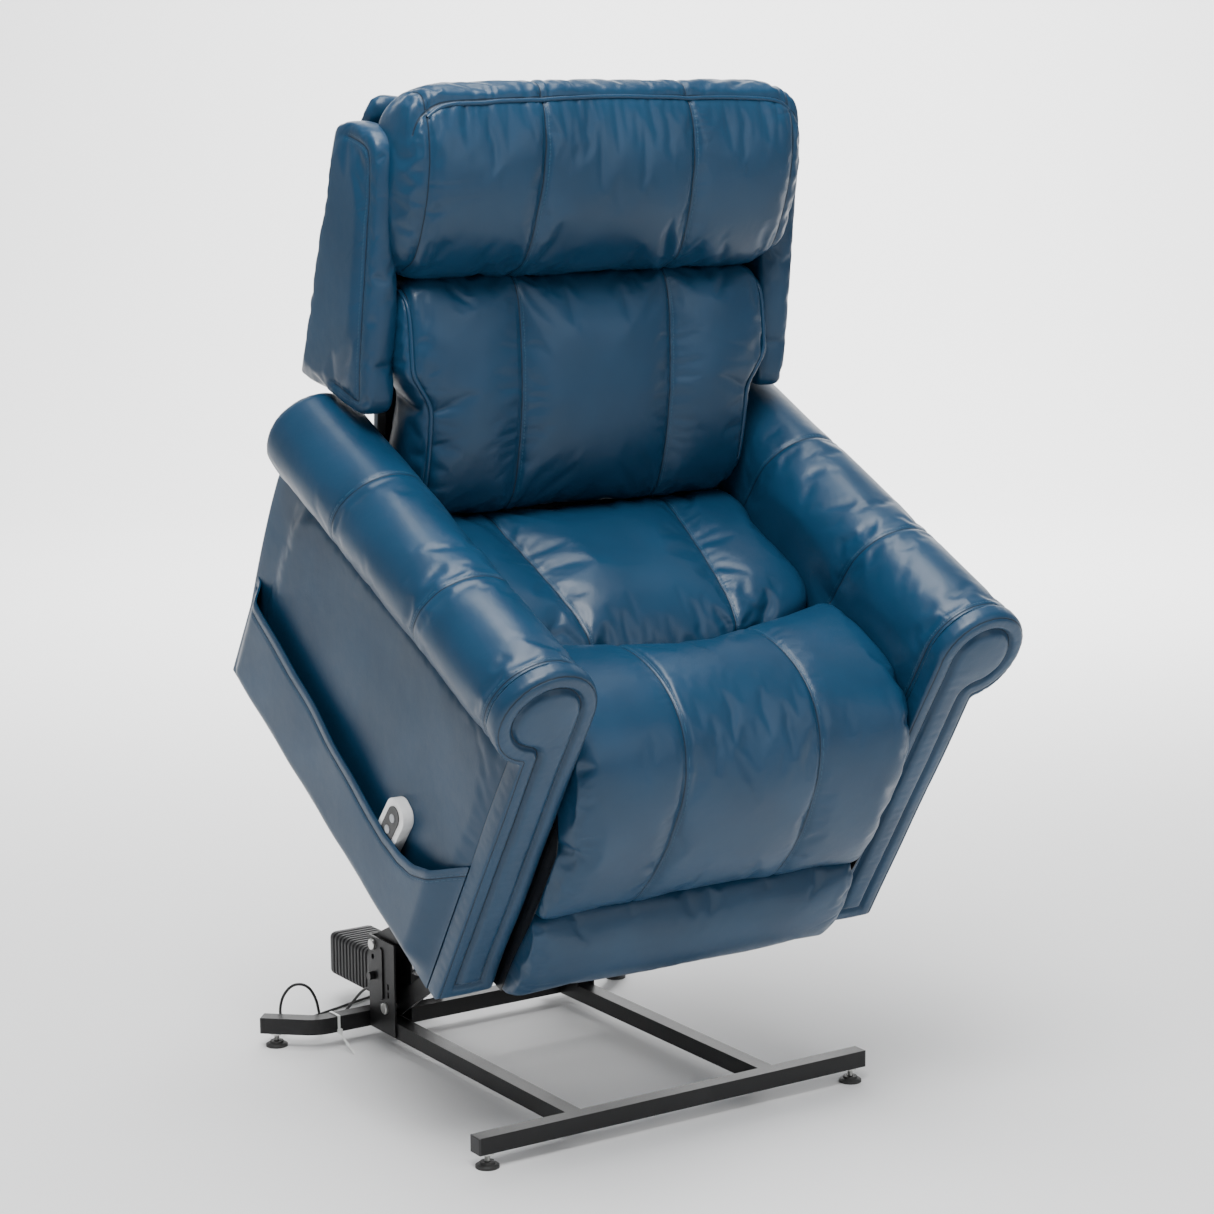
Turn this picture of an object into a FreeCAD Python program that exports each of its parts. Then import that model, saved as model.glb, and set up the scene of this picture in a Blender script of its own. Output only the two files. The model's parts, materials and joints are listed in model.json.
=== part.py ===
import FreeCAD, Part
import math
import os

from FreeCAD import Placement, Rotation, Vector

# Lift recliner chair, stored at the top of its lift with the seat unit tipped forward.
# Row frame: +Z up, +X to the sitter's left, the chair faces -Y, origin on the floor
# below the middle of the chair.  Base pieces are drawn with y = 0 at the front face
# of the front crossbar.  Seat-unit pieces are drawn level, in the chair frame, whose
# origin is the bottom front edge of the arms; they are tipped into place on export.

# ---------------------------------------------------------------- driving dimensions
ORIGIN_Y = 279.5          # origin's distance behind the front crossbar's front face

TUBE = 25.0               # square steel tube, outside
TUBE_WALL = 1.5
CAP_LIP = 3.0             # visible lip of a plastic tube end cap
TUBE_TOP = 47.6           # floor to the top of the base tubes
FLOOR_GAP = TUBE_TOP - TUBE
BASE_WIDTH = 670.0        # front crossbar over its end caps
RAIL_X = 167.0            # centre of each side rail
REAR_BAR_Y = 566.0        # front face of the rear crossbar
OUTRIGGER_START = 143.0   # where an outrigger begins behind the rear crossbar
OUTRIGGER_BEND = BASE_WIDTH / 2 - 85   # where it starts to bend rearward
OUTRIGGER_ANGLE = 42.0
OUTRIGGER_RADIUS = 45.0   # centreline radius of its bend
OUTRIGGER_TAIL = 68.0     # straight length after the bend

FOOT_X = BASE_WIDTH / 2 - 20
FRONT_FOOT_Y = 12.5
REAR_FOOT_Y = REAR_BAR_Y + 82
FOOT_DISC_R = 17.0
FOOT_STEM_R = 4.0
FOOT_FIT = 0.06           # radial clearance of a levelling foot's thread

UPRIGHT_Y = (508.0, 588.0)
UPRIGHT_TOP = 172.0
UPRIGHT_WALL = 3.0
UPRIGHT_INNER = 150.0     # inner face of the inner web
UPPER_BOLT = (574.0, 159.0)
LOWER_BOLT = (537.0, 65.0)
BOLT_R = 5.0
PIVOT_FIT = 0.08          # radial running clearance of every pivot

UPPER_LINK_X = (170.0, 175.0)
LOWER_LINK_X = (158.0, 163.0)
LIFT_BRACKET_X = (164.4, 168.6)
LINK_HALF = 15.0          # half the width of a lift link

SEAT_TILT = 31.55         # forward tilt of the raised seat unit
SEAT_ORIGIN = (60.3, 242.7)   # y, z of the chair frame in the base frame
UPPER_PIN = (122.5, 82.1)     # chair-frame y, z of the links' seat-unit pivots
LOWER_PIN = (97.4, 39.6)
LOWER_PIN_PLAY = 3.9      # slack of the lower link's eye round its pin

MOTOR_X = -95.0           # lift motor and its tube
MOTOR_PIN = (640.0, 60.0)     # base-frame y, z
MOTOR_BOX = (80.0, 200.0, 72.0)   # width, length, height
LIFT_EYE = (200.0, 140.0)     # chair-frame y, z where the lift rod pushes
LIFT_PLAY = (-8.2, -9.6)      # lost motion slot from that eye
LIFT_RETRACTED = 508.3    # motor pin to rod eye with the lift down
ACTUATOR_R = 15.0
ACTUATOR_BORE = 11.0
ROD_R = 9.5

RECLINE_X = 80.0
RECLINE_PIN = (560.0, 160.0)
RECLINE_EYE = (105.0, 259.0)
RECLINE_STROKE = 205.0
RECLINE_TUBE = 390.0      # recline motor pin to the open end of its tube
RECLINE_BOX_HALF = 36.0   # half width of the recline motor

ARM_INNER = 283.0         # inner wall of each arm
ARM_SIDE = 372.0          # outer wall of each arm
ARM_DEPTH = 685.0
ROLL_R = 73.5             # rolled top of the arm
ROLL_X = 356.0
ROLL_Z = 517.0            # centre of the roll at the front
ROLL_DROP = 60.0          # how far the roll's centre falls by its rear end
ROLL_LENGTH = 656.0
ARM_BOARD = 18.0          # plywood of the arm frame
POCKET_DEPTH = 29.5       # side pocket, over its fabric
POCKET_WALL = 2.5

SEAT_HALF = 276.0         # half width of the seat cushion
SEAT_TOP = 425.0
KNEE = (30.0, 400.0)      # footrest hinge, chair-frame y, z
KNEE_R = 52.0             # knee roll of the leg pad
KNEE_TOP = 455.0          # top of the pad behind the knee
SOFT_GAP = 2.0            # clearance between soft pieces
UPPER_RAIL_Z = 265.0      # underside of the seat's upper rails
DECK_TOP = UPPER_RAIL_Z + TUBE + 5
RAIL_OUT = 268.0          # outer face of the seat unit's rails

BACK_HINGE = (600.0, 300.0)
BACK_RAKE = 22.8          # backrest's rearward rake in the chair frame
BACK_HALF = 272.0         # half width of the back between the arms
BACK_HALF_TOP = 314.0     # half width above the arms
BACK_TOP = 655.0          # height of the back along its rake, from the hinge
WING_X = (318.0, 360.0)

HANDSET_Y = 172.0
HANDSET_TILT = 8.0

SIDES = (-1.0, 1.0)


# ---------------------------------------------------------------- drawing helpers
def block(x, y, z):
    """A box between three (low, high) pairs."""
    low, high = zip(*(sorted(pair) for pair in (x, y, z)))
    return Part.makeBox(high[0] - low[0], high[1] - low[1], high[2] - low[2], Vector(*low))


def slab(points, x):
    """A y-z outline between two x planes."""
    low, high = sorted(x)
    wire = Part.makePolygon([Vector(low, y, z) for y, z in points + points[:1]])
    return Part.Face(wire).extrude(Vector(high - low, 0, 0))


def rod_x(y, z, radius, x):
    """A round bar along X."""
    low, high = sorted(x)
    return Part.makeCylinder(radius, high - low, Vector(low, y, z), Vector(1, 0, 0))


def bar(start, end, half, x):
    """A flat link with round ends, in the y-z plane, between two x planes."""
    (y0, z0), (y1, z1) = start, end
    length = math.hypot(y1 - y0, z1 - z0)
    ny, nz = -(z1 - z0) / length * half, (y1 - y0) / length * half
    body = slab([(y0 + ny, z0 + nz), (y1 + ny, z1 + nz), (y1 - ny, z1 - nz), (y0 - ny, z0 - nz)], x)
    return body.fuse([rod_x(y0, z0, half, x), rod_x(y1, z1, half, x)]).removeSplitter()


def tube_x(x, y, z, wall=TUBE_WALL):
    """A square tube along X, from its low y and z edges."""
    outer = block(x, (y, y + TUBE), (z, z + TUBE))
    bore = block((min(x) - 1, max(x) + 1), (y + wall, y + TUBE - wall), (z + wall, z + TUBE - wall))
    return outer.cut(bore)


def tube_y(x, y, z, wall=TUBE_WALL):
    """A square tube along Y, from its low x and z edges."""
    outer = block((x, x + TUBE), y, (z, z + TUBE))
    bore = block((x + wall, x + TUBE - wall), (min(y) - 1, max(y) + 1), (z + wall, z + TUBE - wall))
    return outer.cut(bore)


def soften(shape, radius, keep=lambda edge: True):
    """Rounds the chosen edges, no more than the shape allows."""
    edges = [e for e in shape.Edges if keep(e)]
    return shape.makeFillet(radius, edges) if edges else shape


def span(side, low, high):
    """An (x, x) pair on one side of the chair."""
    return (side * low, side * high)


def turned(shape, degrees, y, z):
    """The shape turned about an X axis through y, z."""
    copy = shape.copy()
    copy.rotate(Vector(0, y, z), Vector(1, 0, 0), degrees)
    return copy


SEAT_PLACE = Placement(Vector(0, SEAT_ORIGIN[0], SEAT_ORIGIN[1]), Rotation(Vector(1, 0, 0), SEAT_TILT))


def seat_to_base(point):
    """Chair-frame (y, z) as base-frame (y, z)."""
    moved = SEAT_PLACE.multVec(Vector(0, *point))
    return (moved.y, moved.z)


NODES = {}


def on_base(name, *shapes):
    """Keeps base-frame solids as a node of the row frame."""
    moved = [shape.translated(Vector(0, -ORIGIN_Y, 0)) for shape in shapes]
    NODES[name] = moved[0] if len(moved) == 1 else Part.makeCompound(moved)


def on_seat(name, *shapes):
    """Keeps chair-frame solids as a node of the row frame, tipped into place."""
    placed = []
    for shape in shapes:
        copy = shape.copy()
        copy.Placement = SEAT_PLACE.multiply(copy.Placement)
        placed.append(copy)
    on_base(name, *placed)


# ---------------------------------------------------------------- base
RAIL_LOW_X = RAIL_X - TUBE / 2
RAIL_FACE = RAIL_X + TUBE / 2


def foot_hole(x, y):
    """Clearance for a foot's stem through the lower wall of a tube."""
    return Part.makeCylinder(FOOT_STEM_R + 0.6, TUBE_WALL + 2, Vector(x, y, FLOOR_GAP - 1))


def outrigger(side):
    """Rear outrigger: a square tube, straight, bent once, straight again."""
    y = REAR_BAR_Y + 1.5 * TUBE
    start = Vector(side * OUTRIGGER_START, y, FLOOR_GAP + TUBE / 2)
    bend = Vector(side * OUTRIGGER_BEND, y, start.z)
    angle = math.radians(OUTRIGGER_ANGLE)

    def on_bend(turn):
        return bend + Vector(side * OUTRIGGER_RADIUS * math.sin(turn), OUTRIGGER_RADIUS * (1 - math.cos(turn)), 0)

    tail = on_bend(angle) + Vector(side * math.cos(angle), math.sin(angle), 0) * OUTRIGGER_TAIL
    path = Part.Wire([
        Part.makeLine(start, bend),
        Part.Arc(bend, on_bend(angle / 2), on_bend(angle)).toShape(),
        Part.makeLine(on_bend(angle), tail),
    ])

    def square(size):
        half = size / 2
        corners = [Vector(start.x, start.y + dy, start.z + dz)
                   for dy, dz in ((-half, -half), (half, -half), (half, half), (-half, half))]
        return path.makePipeShell([Part.makePolygon(corners + corners[:1])], True, True)

    hollow = square(TUBE).cut(square(TUBE - 2 * TUBE_WALL))
    return hollow.cut(foot_hole(side * FOOT_X, REAR_FOOT_Y)), tail, angle


def end_cap(centre, direction):
    """A plastic plug: a lip over the tube's end and a body inside it."""
    lip = Part.makeBox(CAP_LIP, TUBE, TUBE, Vector(0, -TUBE / 2, -TUBE / 2))
    inside = TUBE - 2 * TUBE_WALL - 0.4
    body = Part.makeBox(12, inside, inside, Vector(-12, -inside / 2, -inside / 2))
    cap = soften(lip, 1.5, lambda e: e.BoundBox.XLength < 0.1 and e.BoundBox.XMin > CAP_LIP - 0.1).fuse(body)
    cap.Placement = Placement(centre, Rotation(Vector(1, 0, 0), direction))
    return cap


def base_frame():
    """Tubes, uprights and their caps."""
    half = BASE_WIDTH / 2 - CAP_LIP
    front = tube_x((-half, half), 0, FLOOR_GAP)
    for side in SIDES:
        front = front.cut(foot_hole(side * FOOT_X, FRONT_FOOT_Y))
    on_base("front_crossbar", front)
    on_base("rear_crossbar", tube_x((-RAIL_FACE, RAIL_FACE), REAR_BAR_Y, FLOOR_GAP))
    on_base("side_rails", *[tube_y(x, (TUBE, REAR_BAR_Y), FLOOR_GAP) for x in (RAIL_LOW_X, -RAIL_LOW_X - TUBE)])
    middle = Vector(half, TUBE / 2, FLOOR_GAP + TUBE / 2)
    caps = [end_cap(Vector(side * middle.x, middle.y, middle.z), Vector(side, 0, 0)) for side in SIDES]
    arms = []
    for side in SIDES:
        arm, tail, angle = outrigger(side)
        arms.append(arm)
        caps.append(end_cap(tail, Vector(side * math.cos(angle), math.sin(angle), 0)))
    on_base("outriggers", *arms)
    on_base("tube_end_caps", *caps)


def uprights():
    """A channel each side, open to the front, that carries the lift links between its webs."""
    channels = []
    low, high = UPRIGHT_Y
    outer = RAIL_FACE
    for side in SIDES:
        web = block(span(side, outer, outer + UPRIGHT_WALL), (low, high), (FLOOR_GAP + 2, UPRIGHT_TOP))
        rib = slab([(low + 34, 80), (low + 40, 76), (low + 46, 80), (low + 46, 156), (low + 40, 160), (low + 34, 156)],
                   span(side, outer + UPRIGHT_WALL, outer + UPRIGHT_WALL + 2.5))
        inner = block(span(side, UPRIGHT_INNER, UPRIGHT_INNER + UPRIGHT_WALL), (low, high), (TUBE_TOP, UPRIGHT_TOP))
        back = block(span(side, UPRIGHT_INNER, outer + UPRIGHT_WALL), (high - UPRIGHT_WALL, high),
                     (TUBE_TOP, UPRIGHT_TOP))
        swing = rod_x(*UPPER_BOLT, LINK_HALF + 1.2, span(side, UPRIGHT_INNER + UPRIGHT_WALL, outer))
        channel = web.fuse([rib, inner, back.cut(swing)])
        reach = span(side, UPRIGHT_INNER - 1, outer + 10)
        for y, z in (UPPER_BOLT, LOWER_BOLT):
            channel = channel.cut(rod_x(y, z, BOLT_R + PIVOT_FIT, reach))
        for y, z in ((low + 20, 88), (low + 20, 101)):
            channel = channel.cut(bar((y, z - 2.5), (y, z + 2.5), 2.6, span(side, outer - 1, outer + 10)))
        channel = channel.cut(rod_x(high - 13, 139, 4.5, span(side, outer - 1, outer + 10)))
        channels.append(channel)
    on_base("uprights", *channels)


def bolt_head(side, y, z, x, radius=9.0, height=4.5):
    """A low domed head outside a web."""
    head = rod_x(y, z, radius, span(side, x, x + height))
    return soften(head, 2.0, lambda e: abs(abs(e.BoundBox.Center.x) - x - height) < 0.1)


def pivot_bolts():
    """Link bolts through the uprights, and the lift motor's pin through its bracket."""
    bolts = []
    face = RAIL_FACE + UPRIGHT_WALL
    for side in SIDES:
        for y, z in (UPPER_BOLT, LOWER_BOLT):
            shank = rod_x(y, z, BOLT_R, span(side, UPRIGHT_INNER - 6, face))
            bolts.append(shank.fuse(bolt_head(side, y, z, face)))
    y, z = MOTOR_PIN
    half = MOTOR_BOX[0] / 2 + 8
    bolts.append(rod_x(y, z, BOLT_R, (MOTOR_X - half, MOTOR_X + half)))
    on_base("base_pivot_bolts", *bolts)
    face += 0.05
    on_base("upright_knobs", *[rod_x(UPRIGHT_Y[1] - 14, 109, 6.5, span(side, face, face + 9)) for side in SIDES])


def motor_bracket():
    """Two ears behind the rear crossbar that hold the lift motor's pin."""
    y, z = MOTOR_PIN
    start = REAR_BAR_Y + TUBE
    ears = []
    for side in SIDES:
        inner = MOTOR_X + side * (MOTOR_BOX[0] / 2 + 1.5)
        ear = bar((start + 12, z), (y, z), 12, (inner, inner + side * 4))
        foot = block((inner, inner + side * 4), (start, start + 24), (FLOOR_GAP + 2, z + 12))
        hole = rod_x(y, z, BOLT_R + PIVOT_FIT, (inner - 6, inner + 6))
        ears.append(ear.fuse(foot).cut(hole))
    on_base("lift_motor_bracket", *ears)


def levelling_feet():
    """Threaded stems with round pads, and the nut plates that they screw into."""
    plates = []
    for name, side, y in (("left_front_foot", 1, FRONT_FOOT_Y), ("right_front_foot", -1, FRONT_FOOT_Y),
                          ("left_rear_foot", 1, REAR_FOOT_Y), ("right_rear_foot", -1, REAR_FOOT_Y)):
        x = side * FOOT_X
        outline = [(0, 0), (FOOT_DISC_R, 0), (FOOT_DISC_R, 3.5), (FOOT_DISC_R - 3, 5.5),
                   (FOOT_DISC_R - 6, 6), (FOOT_DISC_R - 7, 9), (0, 9), (0, 0)]
        face = Part.Face(Part.makePolygon([Vector(r, 0, z) for r, z in outline]))
        pad = face.revolve(Vector(0, 0, 0), Vector(0, 0, 1), 360).translated(Vector(x, y, 0))
        stem = Part.makeCylinder(FOOT_STEM_R, TUBE_TOP - TUBE_WALL - 16, Vector(x, y, 9))
        on_base(name, pad, stem)
        plate = Part.makeCylinder(9, 4, Vector(x, y, FLOOR_GAP - 4), Vector(0, 0, 1))
        plates.append(plate.cut(Part.makeCylinder(FOOT_STEM_R + FOOT_FIT, 8, Vector(x, y, FLOOR_GAP - 6))))
    on_base("foot_nut_plates", *plates)


# ---------------------------------------------------------------- lift linkage
def lift_links():
    """Upper and lower links of the four-bar lift, each pair tied by a cross tube."""
    upper_end, lower_end = seat_to_base(UPPER_PIN), seat_to_base(LOWER_PIN)
    for name, bolt, end, x, play, along in (
            ("upper_links", UPPER_BOLT, upper_end, UPPER_LINK_X, PIVOT_FIT, 0.80),
            ("lower_links", LOWER_BOLT, lower_end, LOWER_LINK_X, LOWER_PIN_PLAY, 0.30)):
        y, z = (bolt[i] + (end[i] - bolt[i]) * along for i in (0, 1))
        pair = []
        for side in SIDES:
            link = bar(bolt, end, LINK_HALF, span(side, *x))
            reach = span(side, x[0] - 1, x[1] + 1)
            link = link.cut(rod_x(*bolt, BOLT_R + PIVOT_FIT, reach)).cut(rod_x(*end, BOLT_R + play, reach))
            pair.append(link)
        tie = rod_x(y, z, 9.0, (-x[0], x[0])).cut(rod_x(y, z, 7.0, (-x[0] - 1, x[0] + 1)))
        on_base(name, *pair, tie)


def along_line(start, end, distance):
    """The point a distance from start towards end, in y-z."""
    length = math.hypot(end[0] - start[0], end[1] - start[1])
    return tuple(start[i] + (end[i] - start[i]) * distance / length for i in (0, 1))


def round_bar(x, start, end, radius):
    """A round bar between two y-z points at one x."""
    axis = Vector(0, end[0] - start[0], end[1] - start[1])
    return Part.makeCylinder(radius, axis.Length, Vector(x, *start), axis)


def push_rod(x, pivot, eye, retracted):
    """A rod whose tail stays in the outer tube, with an eye block and its pin."""
    length = math.hypot(eye[0] - pivot[0], eye[1] - pivot[1])
    tail = along_line(pivot, eye, length - retracted + 70)
    rod = round_bar(x, tail, along_line(pivot, eye, length - 8), ROD_R)
    head = rod_x(*eye, 12.5, (x - 11, x + 11))
    return rod.fuse(head).cut(rod_x(*eye, BOLT_R, (x - 20, x + 20))), rod_x(*eye, BOLT_R, (x - 21, x + 21))


def fork_rod(x, pivot, eye, length):
    """A rod that ends in a fork whose cheeks pass either side of a crank plate."""
    reach = math.hypot(eye[0] - pivot[0], eye[1] - pivot[1])
    neck = along_line(pivot, eye, reach - 48)
    rod = round_bar(x, along_line(pivot, eye, reach - length), neck, ROD_R)
    web = bar(along_line(pivot, eye, reach - 56), neck, 10, (x - 9, x + 9))
    cheeks = [bar(neck, eye, 12, (x + side * 4, x + side * 9)).cut(rod_x(*eye, BOLT_R, (x - 10, x + 10)))
              for side in SIDES]
    return rod.fuse([web] + cheeks)


def outer_tube(x, pivot, eye, start, length):
    """The actuator's outer tube, bored for the rod and closed at its motor end."""
    near, far = along_line(pivot, eye, start), along_line(pivot, eye, length)
    bore_start = along_line(pivot, eye, start + 8)
    return round_bar(x, near, far, ACTUATOR_R).cut(
        round_bar(x, bore_start, along_line(pivot, eye, length + 5), ACTUATOR_BORE))


def lift_actuator():
    """Motor housing on the base bracket, its outer tube, and the rod that pushes the seat unit."""
    eye = seat_to_base(LIFT_EYE)
    width, length, height = MOTOR_BOX
    y, z = MOTOR_PIN
    box = block((MOTOR_X - width / 2, MOTOR_X + width / 2), (y - 26, y - 26 + length), (z - 17, z - 17 + height))
    box = soften(box, 14.0, lambda e: e.BoundBox.YLength < 0.1 and e.BoundBox.XLength < 0.1
                 and e.BoundBox.YMin > y)
    box = soften(box, 6.0, lambda e: e.BoundBox.ZMin > z - 17 + height - 0.5 and e.BoundBox.YMin > y - 20)
    box = box.cut(rod_x(y, z, BOLT_R + PIVOT_FIT, (MOTOR_X - width, MOTOR_X + width)))
    tube = outer_tube(MOTOR_X, MOTOR_PIN, eye, 66, LIFT_RETRACTED - 30)
    on_base("lift_motor_housing", box.cut(tube.copy()))
    on_base("lift_actuator_tube", tube.cut(box))
    rod, pin = push_rod(MOTOR_X, MOTOR_PIN, eye, LIFT_RETRACTED - 60)
    on_base("lift_rod", rod, pin)


# ---------------------------------------------------------------- seat unit
RAIL_IN = RAIL_OUT - TUBE
LOWER_RAIL_Z = 50.0
POST_Y = (150.0, 575.0)
FRONT_TIE = (75.0, 105.0)
LIFT_TIE = (150.0, 155.0)
REAR_TIE = (605.0, 150.0)


def seat_frame():
    """Square-tube box frame under the seat."""
    rails, posts = [], []
    for side in SIDES:
        x = RAIL_IN if side > 0 else -RAIL_OUT
        rails.append(tube_y(x, (75, 655), LOWER_RAIL_Z))
        rails.append(tube_y(x, (90, 612), UPPER_RAIL_Z))
        for y in POST_Y:
            posts.append(block((x, x + TUBE), (y, y + TUBE), (LOWER_RAIL_Z + TUBE, UPPER_RAIL_Z)))
    front_y, front_z = FRONT_TIE
    for side in SIDES:
        x = RAIL_IN if side > 0 else -RAIL_OUT
        posts.append(block((x, x + TUBE), (front_y, front_y + TUBE), (LOWER_RAIL_Z + TUBE, front_z + TUBE)))
        posts.append(block((x, x + TUBE), (REAR_TIE[0], REAR_TIE[0] + TUBE), (LOWER_RAIL_Z + TUBE, REAR_TIE[1] + TUBE)))
    on_seat("seat_rails", *rails)
    on_seat("seat_posts", *posts)
    on_seat("cross_tubes", *[tube_x((-RAIL_IN, RAIL_IN), y, z) for y, z in (FRONT_TIE, LIFT_TIE, REAR_TIE)])
    on_seat("seat_deck", block((-RAIL_IN - 10, RAIL_IN + 10), (100, 520), (UPPER_RAIL_Z + TUBE, DECK_TOP)))


def drive_brackets():
    """Plates that join the links, the lift rod and the recline motor to the seat unit, with their pins."""
    parts = []
    front_y, front_z = FRONT_TIE
    for side in SIDES:
        outline = [(front_y, front_z), (front_y + TUBE, front_z), (UPPER_PIN[0] + 15, UPPER_PIN[1] + 12),
                   (UPPER_PIN[0] + 15, UPPER_PIN[1] - 14), (LOWER_PIN[0] + 8, LOWER_PIN[1] - 15),
                   (LOWER_PIN[0] - 14, LOWER_PIN[1] - 15), (front_y, LOWER_PIN[1] + 10)]
        plate = slab(outline, span(side, *LIFT_BRACKET_X))
        upper = rod_x(*UPPER_PIN, BOLT_R, span(side, LIFT_BRACKET_X[0], UPPER_LINK_X[1] + 4))
        lower = rod_x(*LOWER_PIN, BOLT_R, span(side, LOWER_LINK_X[0] - 4, LIFT_BRACKET_X[1]))
        parts.append(plate.fuse([upper, lower]))
    y, z = LIFT_EYE
    dy, dz = LIFT_PLAY
    for side in SIDES:
        x = (MOTOR_X + side * 13, MOTOR_X + side * 18)
        ear = slab([(LIFT_TIE[0], LIFT_TIE[1]), (LIFT_TIE[0] + 4, z - 34), (y + 4, z - 34), (y + 22, z - 12),
                    (y + 22, z + 14), (LIFT_TIE[0] + TUBE, LIFT_TIE[1] + TUBE), (LIFT_TIE[0] + TUBE, LIFT_TIE[1])], x)
        slot = bar((y, z), (y + dy, z + dz), BOLT_R + 3.4, (x[0] - side, x[1] + side))
        parts.append(ear.cut(slot))
    y, z = RECLINE_PIN
    reach = RECLINE_BOX_HALF + 1.5
    for side in SIDES:
        inner = RECLINE_X + side * reach
        ear = slab([(y - 12, z - 10), (REAR_TIE[0], REAR_TIE[1] - 4), (REAR_TIE[0], REAR_TIE[1] + TUBE),
                    (y + 4, z + 14), (y - 12, z + 10)], (inner, inner + side * 4))
        parts.append(ear.cut(rod_x(y, z, BOLT_R + PIVOT_FIT, (inner - 6, inner + 6))))
    parts.append(rod_x(y, z, BOLT_R, (RECLINE_X - reach - 10, RECLINE_X + reach + 10)))
    on_seat("drive_brackets", *parts)


def hinge_brackets():
    """Plates on the seat rails for the footrest hinge and the backrest hinge, with their pins."""
    knees, backs = [], []
    for side in SIDES:
        x = (RAIL_IN + 7, RAIL_IN + 11)
        plate = slab([(KNEE[0] - 12, KNEE[1] - 8), (KNEE[0] + 40, UPPER_RAIL_Z), (90, UPPER_RAIL_Z),
                      (90, UPPER_RAIL_Z + TUBE), (KNEE[0] + 13, KNEE[1] + 3)], span(side, *x))
        plate = plate.fuse(rod_x(*KNEE, 13, span(side, *x)))
        knees.append(plate.fuse(rod_x(*KNEE, BOLT_R, span(side, RAIL_IN - 3, x[1]))))
        x = (RAIL_OUT + 0.1, RAIL_OUT + 4)
        y, z = BACK_HINGE
        plate = slab([(y - 60, UPPER_RAIL_Z), (y + 10, UPPER_RAIL_Z), (y + 14, z), (y - 14, z)], span(side, *x))
        plate = plate.fuse(rod_x(y, z, 15, span(side, *x)))
        backs.append(plate.fuse(rod_x(y, z, BOLT_R, span(side, x[0], BACK_HALF + 8))))
    on_seat("knee_brackets", *knees)
    on_seat("back_brackets", *backs)


def recline_drive():
    """Recline motor under the rear of the seat, its tube, and the rod that swings the footrest."""
    y, z = RECLINE_PIN
    x = (RECLINE_X - RECLINE_BOX_HALF, RECLINE_X + RECLINE_BOX_HALF)
    box = block(x, (y - 22, y + 43), (z - 62, z + 30))
    box = soften(box, 8.0, lambda e: e.BoundBox.XLength > 60)
    tube = outer_tube(RECLINE_X, RECLINE_PIN, RECLINE_EYE, 12, RECLINE_TUBE)
    on_seat("recline_motor_housing", box.cut(round_bar(RECLINE_X, RECLINE_PIN, RECLINE_EYE, ACTUATOR_R))
            .cut(rod_x(y, z, BOLT_R + PIVOT_FIT, (x[0] - 1, x[1] + 1))))
    on_seat("recline_actuator_tube", tube.cut(box.cut(round_bar(RECLINE_X, RECLINE_PIN, RECLINE_EYE, ACTUATOR_R))))
    on_seat("recline_rod", fork_rod(RECLINE_X, RECLINE_PIN, RECLINE_EYE, RECLINE_STROKE + 60))
    on_seat("control_box", soften(block((-55, 40), (300, 420), (UPPER_RAIL_Z - 24, UPPER_RAIL_Z + TUBE - 0.4)), 4.0,
                                  lambda e: e.BoundBox.ZLength > 20))


# ---------------------------------------------------------------- arms
def roll_point(distance):
    """Centre height of the arm roll at a distance behind the arm's front."""
    return ROLL_Z - ROLL_DROP * distance / ROLL_LENGTH


def arm_roll(side, radius, start, end):
    """The rolled top, which falls a little towards the back."""
    low = Vector(side * ROLL_X, start, roll_point(start))
    axis = Vector(0, end - start, roll_point(end) - roll_point(start))
    return Part.makeCylinder(radius, axis.Length, low, axis)


def arms():
    """Plywood frames, padded outer shells with rolled tops, front facings and side pockets."""
    frames = []
    board = (ARM_INNER + 18, ARM_INNER + 18 + ARM_BOARD)
    for side, word in ((-1, "right"), (1, "left")):
        panel = slab([(35, 0), (ARM_DEPTH - 25, 0), (ARM_DEPTH - 20, 380), (35, 430)], span(side, *board))
        post = block(span(side, board[1], ARM_SIDE - 16), (35, 53), (30, 400))
        frames.append(panel.fuse(post))
        outline = [(12, 0), (ARM_DEPTH, 0), (ARM_DEPTH + 10, 180), (ARM_DEPTH + 23, 360), (ARM_DEPTH + 8, 440),
                   (ARM_DEPTH - 15, roll_point(ROLL_LENGTH)), (12, ROLL_Z)]
        shell = slab(outline, span(side, ARM_INNER, ARM_SIDE)).fuse(arm_roll(side, ROLL_R, 12, ROLL_LENGTH + 12))
        hollow = slab([(32, -1), (ARM_DEPTH - 22, -1), (ARM_DEPTH - 17, 384), (32, 434)],
                      span(side, board[0] - 3, ARM_SIDE - 13))
        on_seat(f"{word}_arm_pad", shell.cut(hollow))
        lower = slab([(-14, 0), (11.5, 0), (11.5, ROLL_Z), (-14, ROLL_Z)], span(side, ARM_INNER + 3, ARM_SIDE + 3))
        facing = lower.fuse(arm_roll(side, ROLL_R + 1.5, -14, 11.2)).removeSplitter()
        on_seat(f"{word}_arm_front", facing.cut(shell))
        pocket(side, word)
    on_seat("arm_frames", *frames)


POCKET_HEM = ((14, 232), (92, 166), (175, 146), (520, 172), (ARM_DEPTH - 3, 182))


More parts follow.
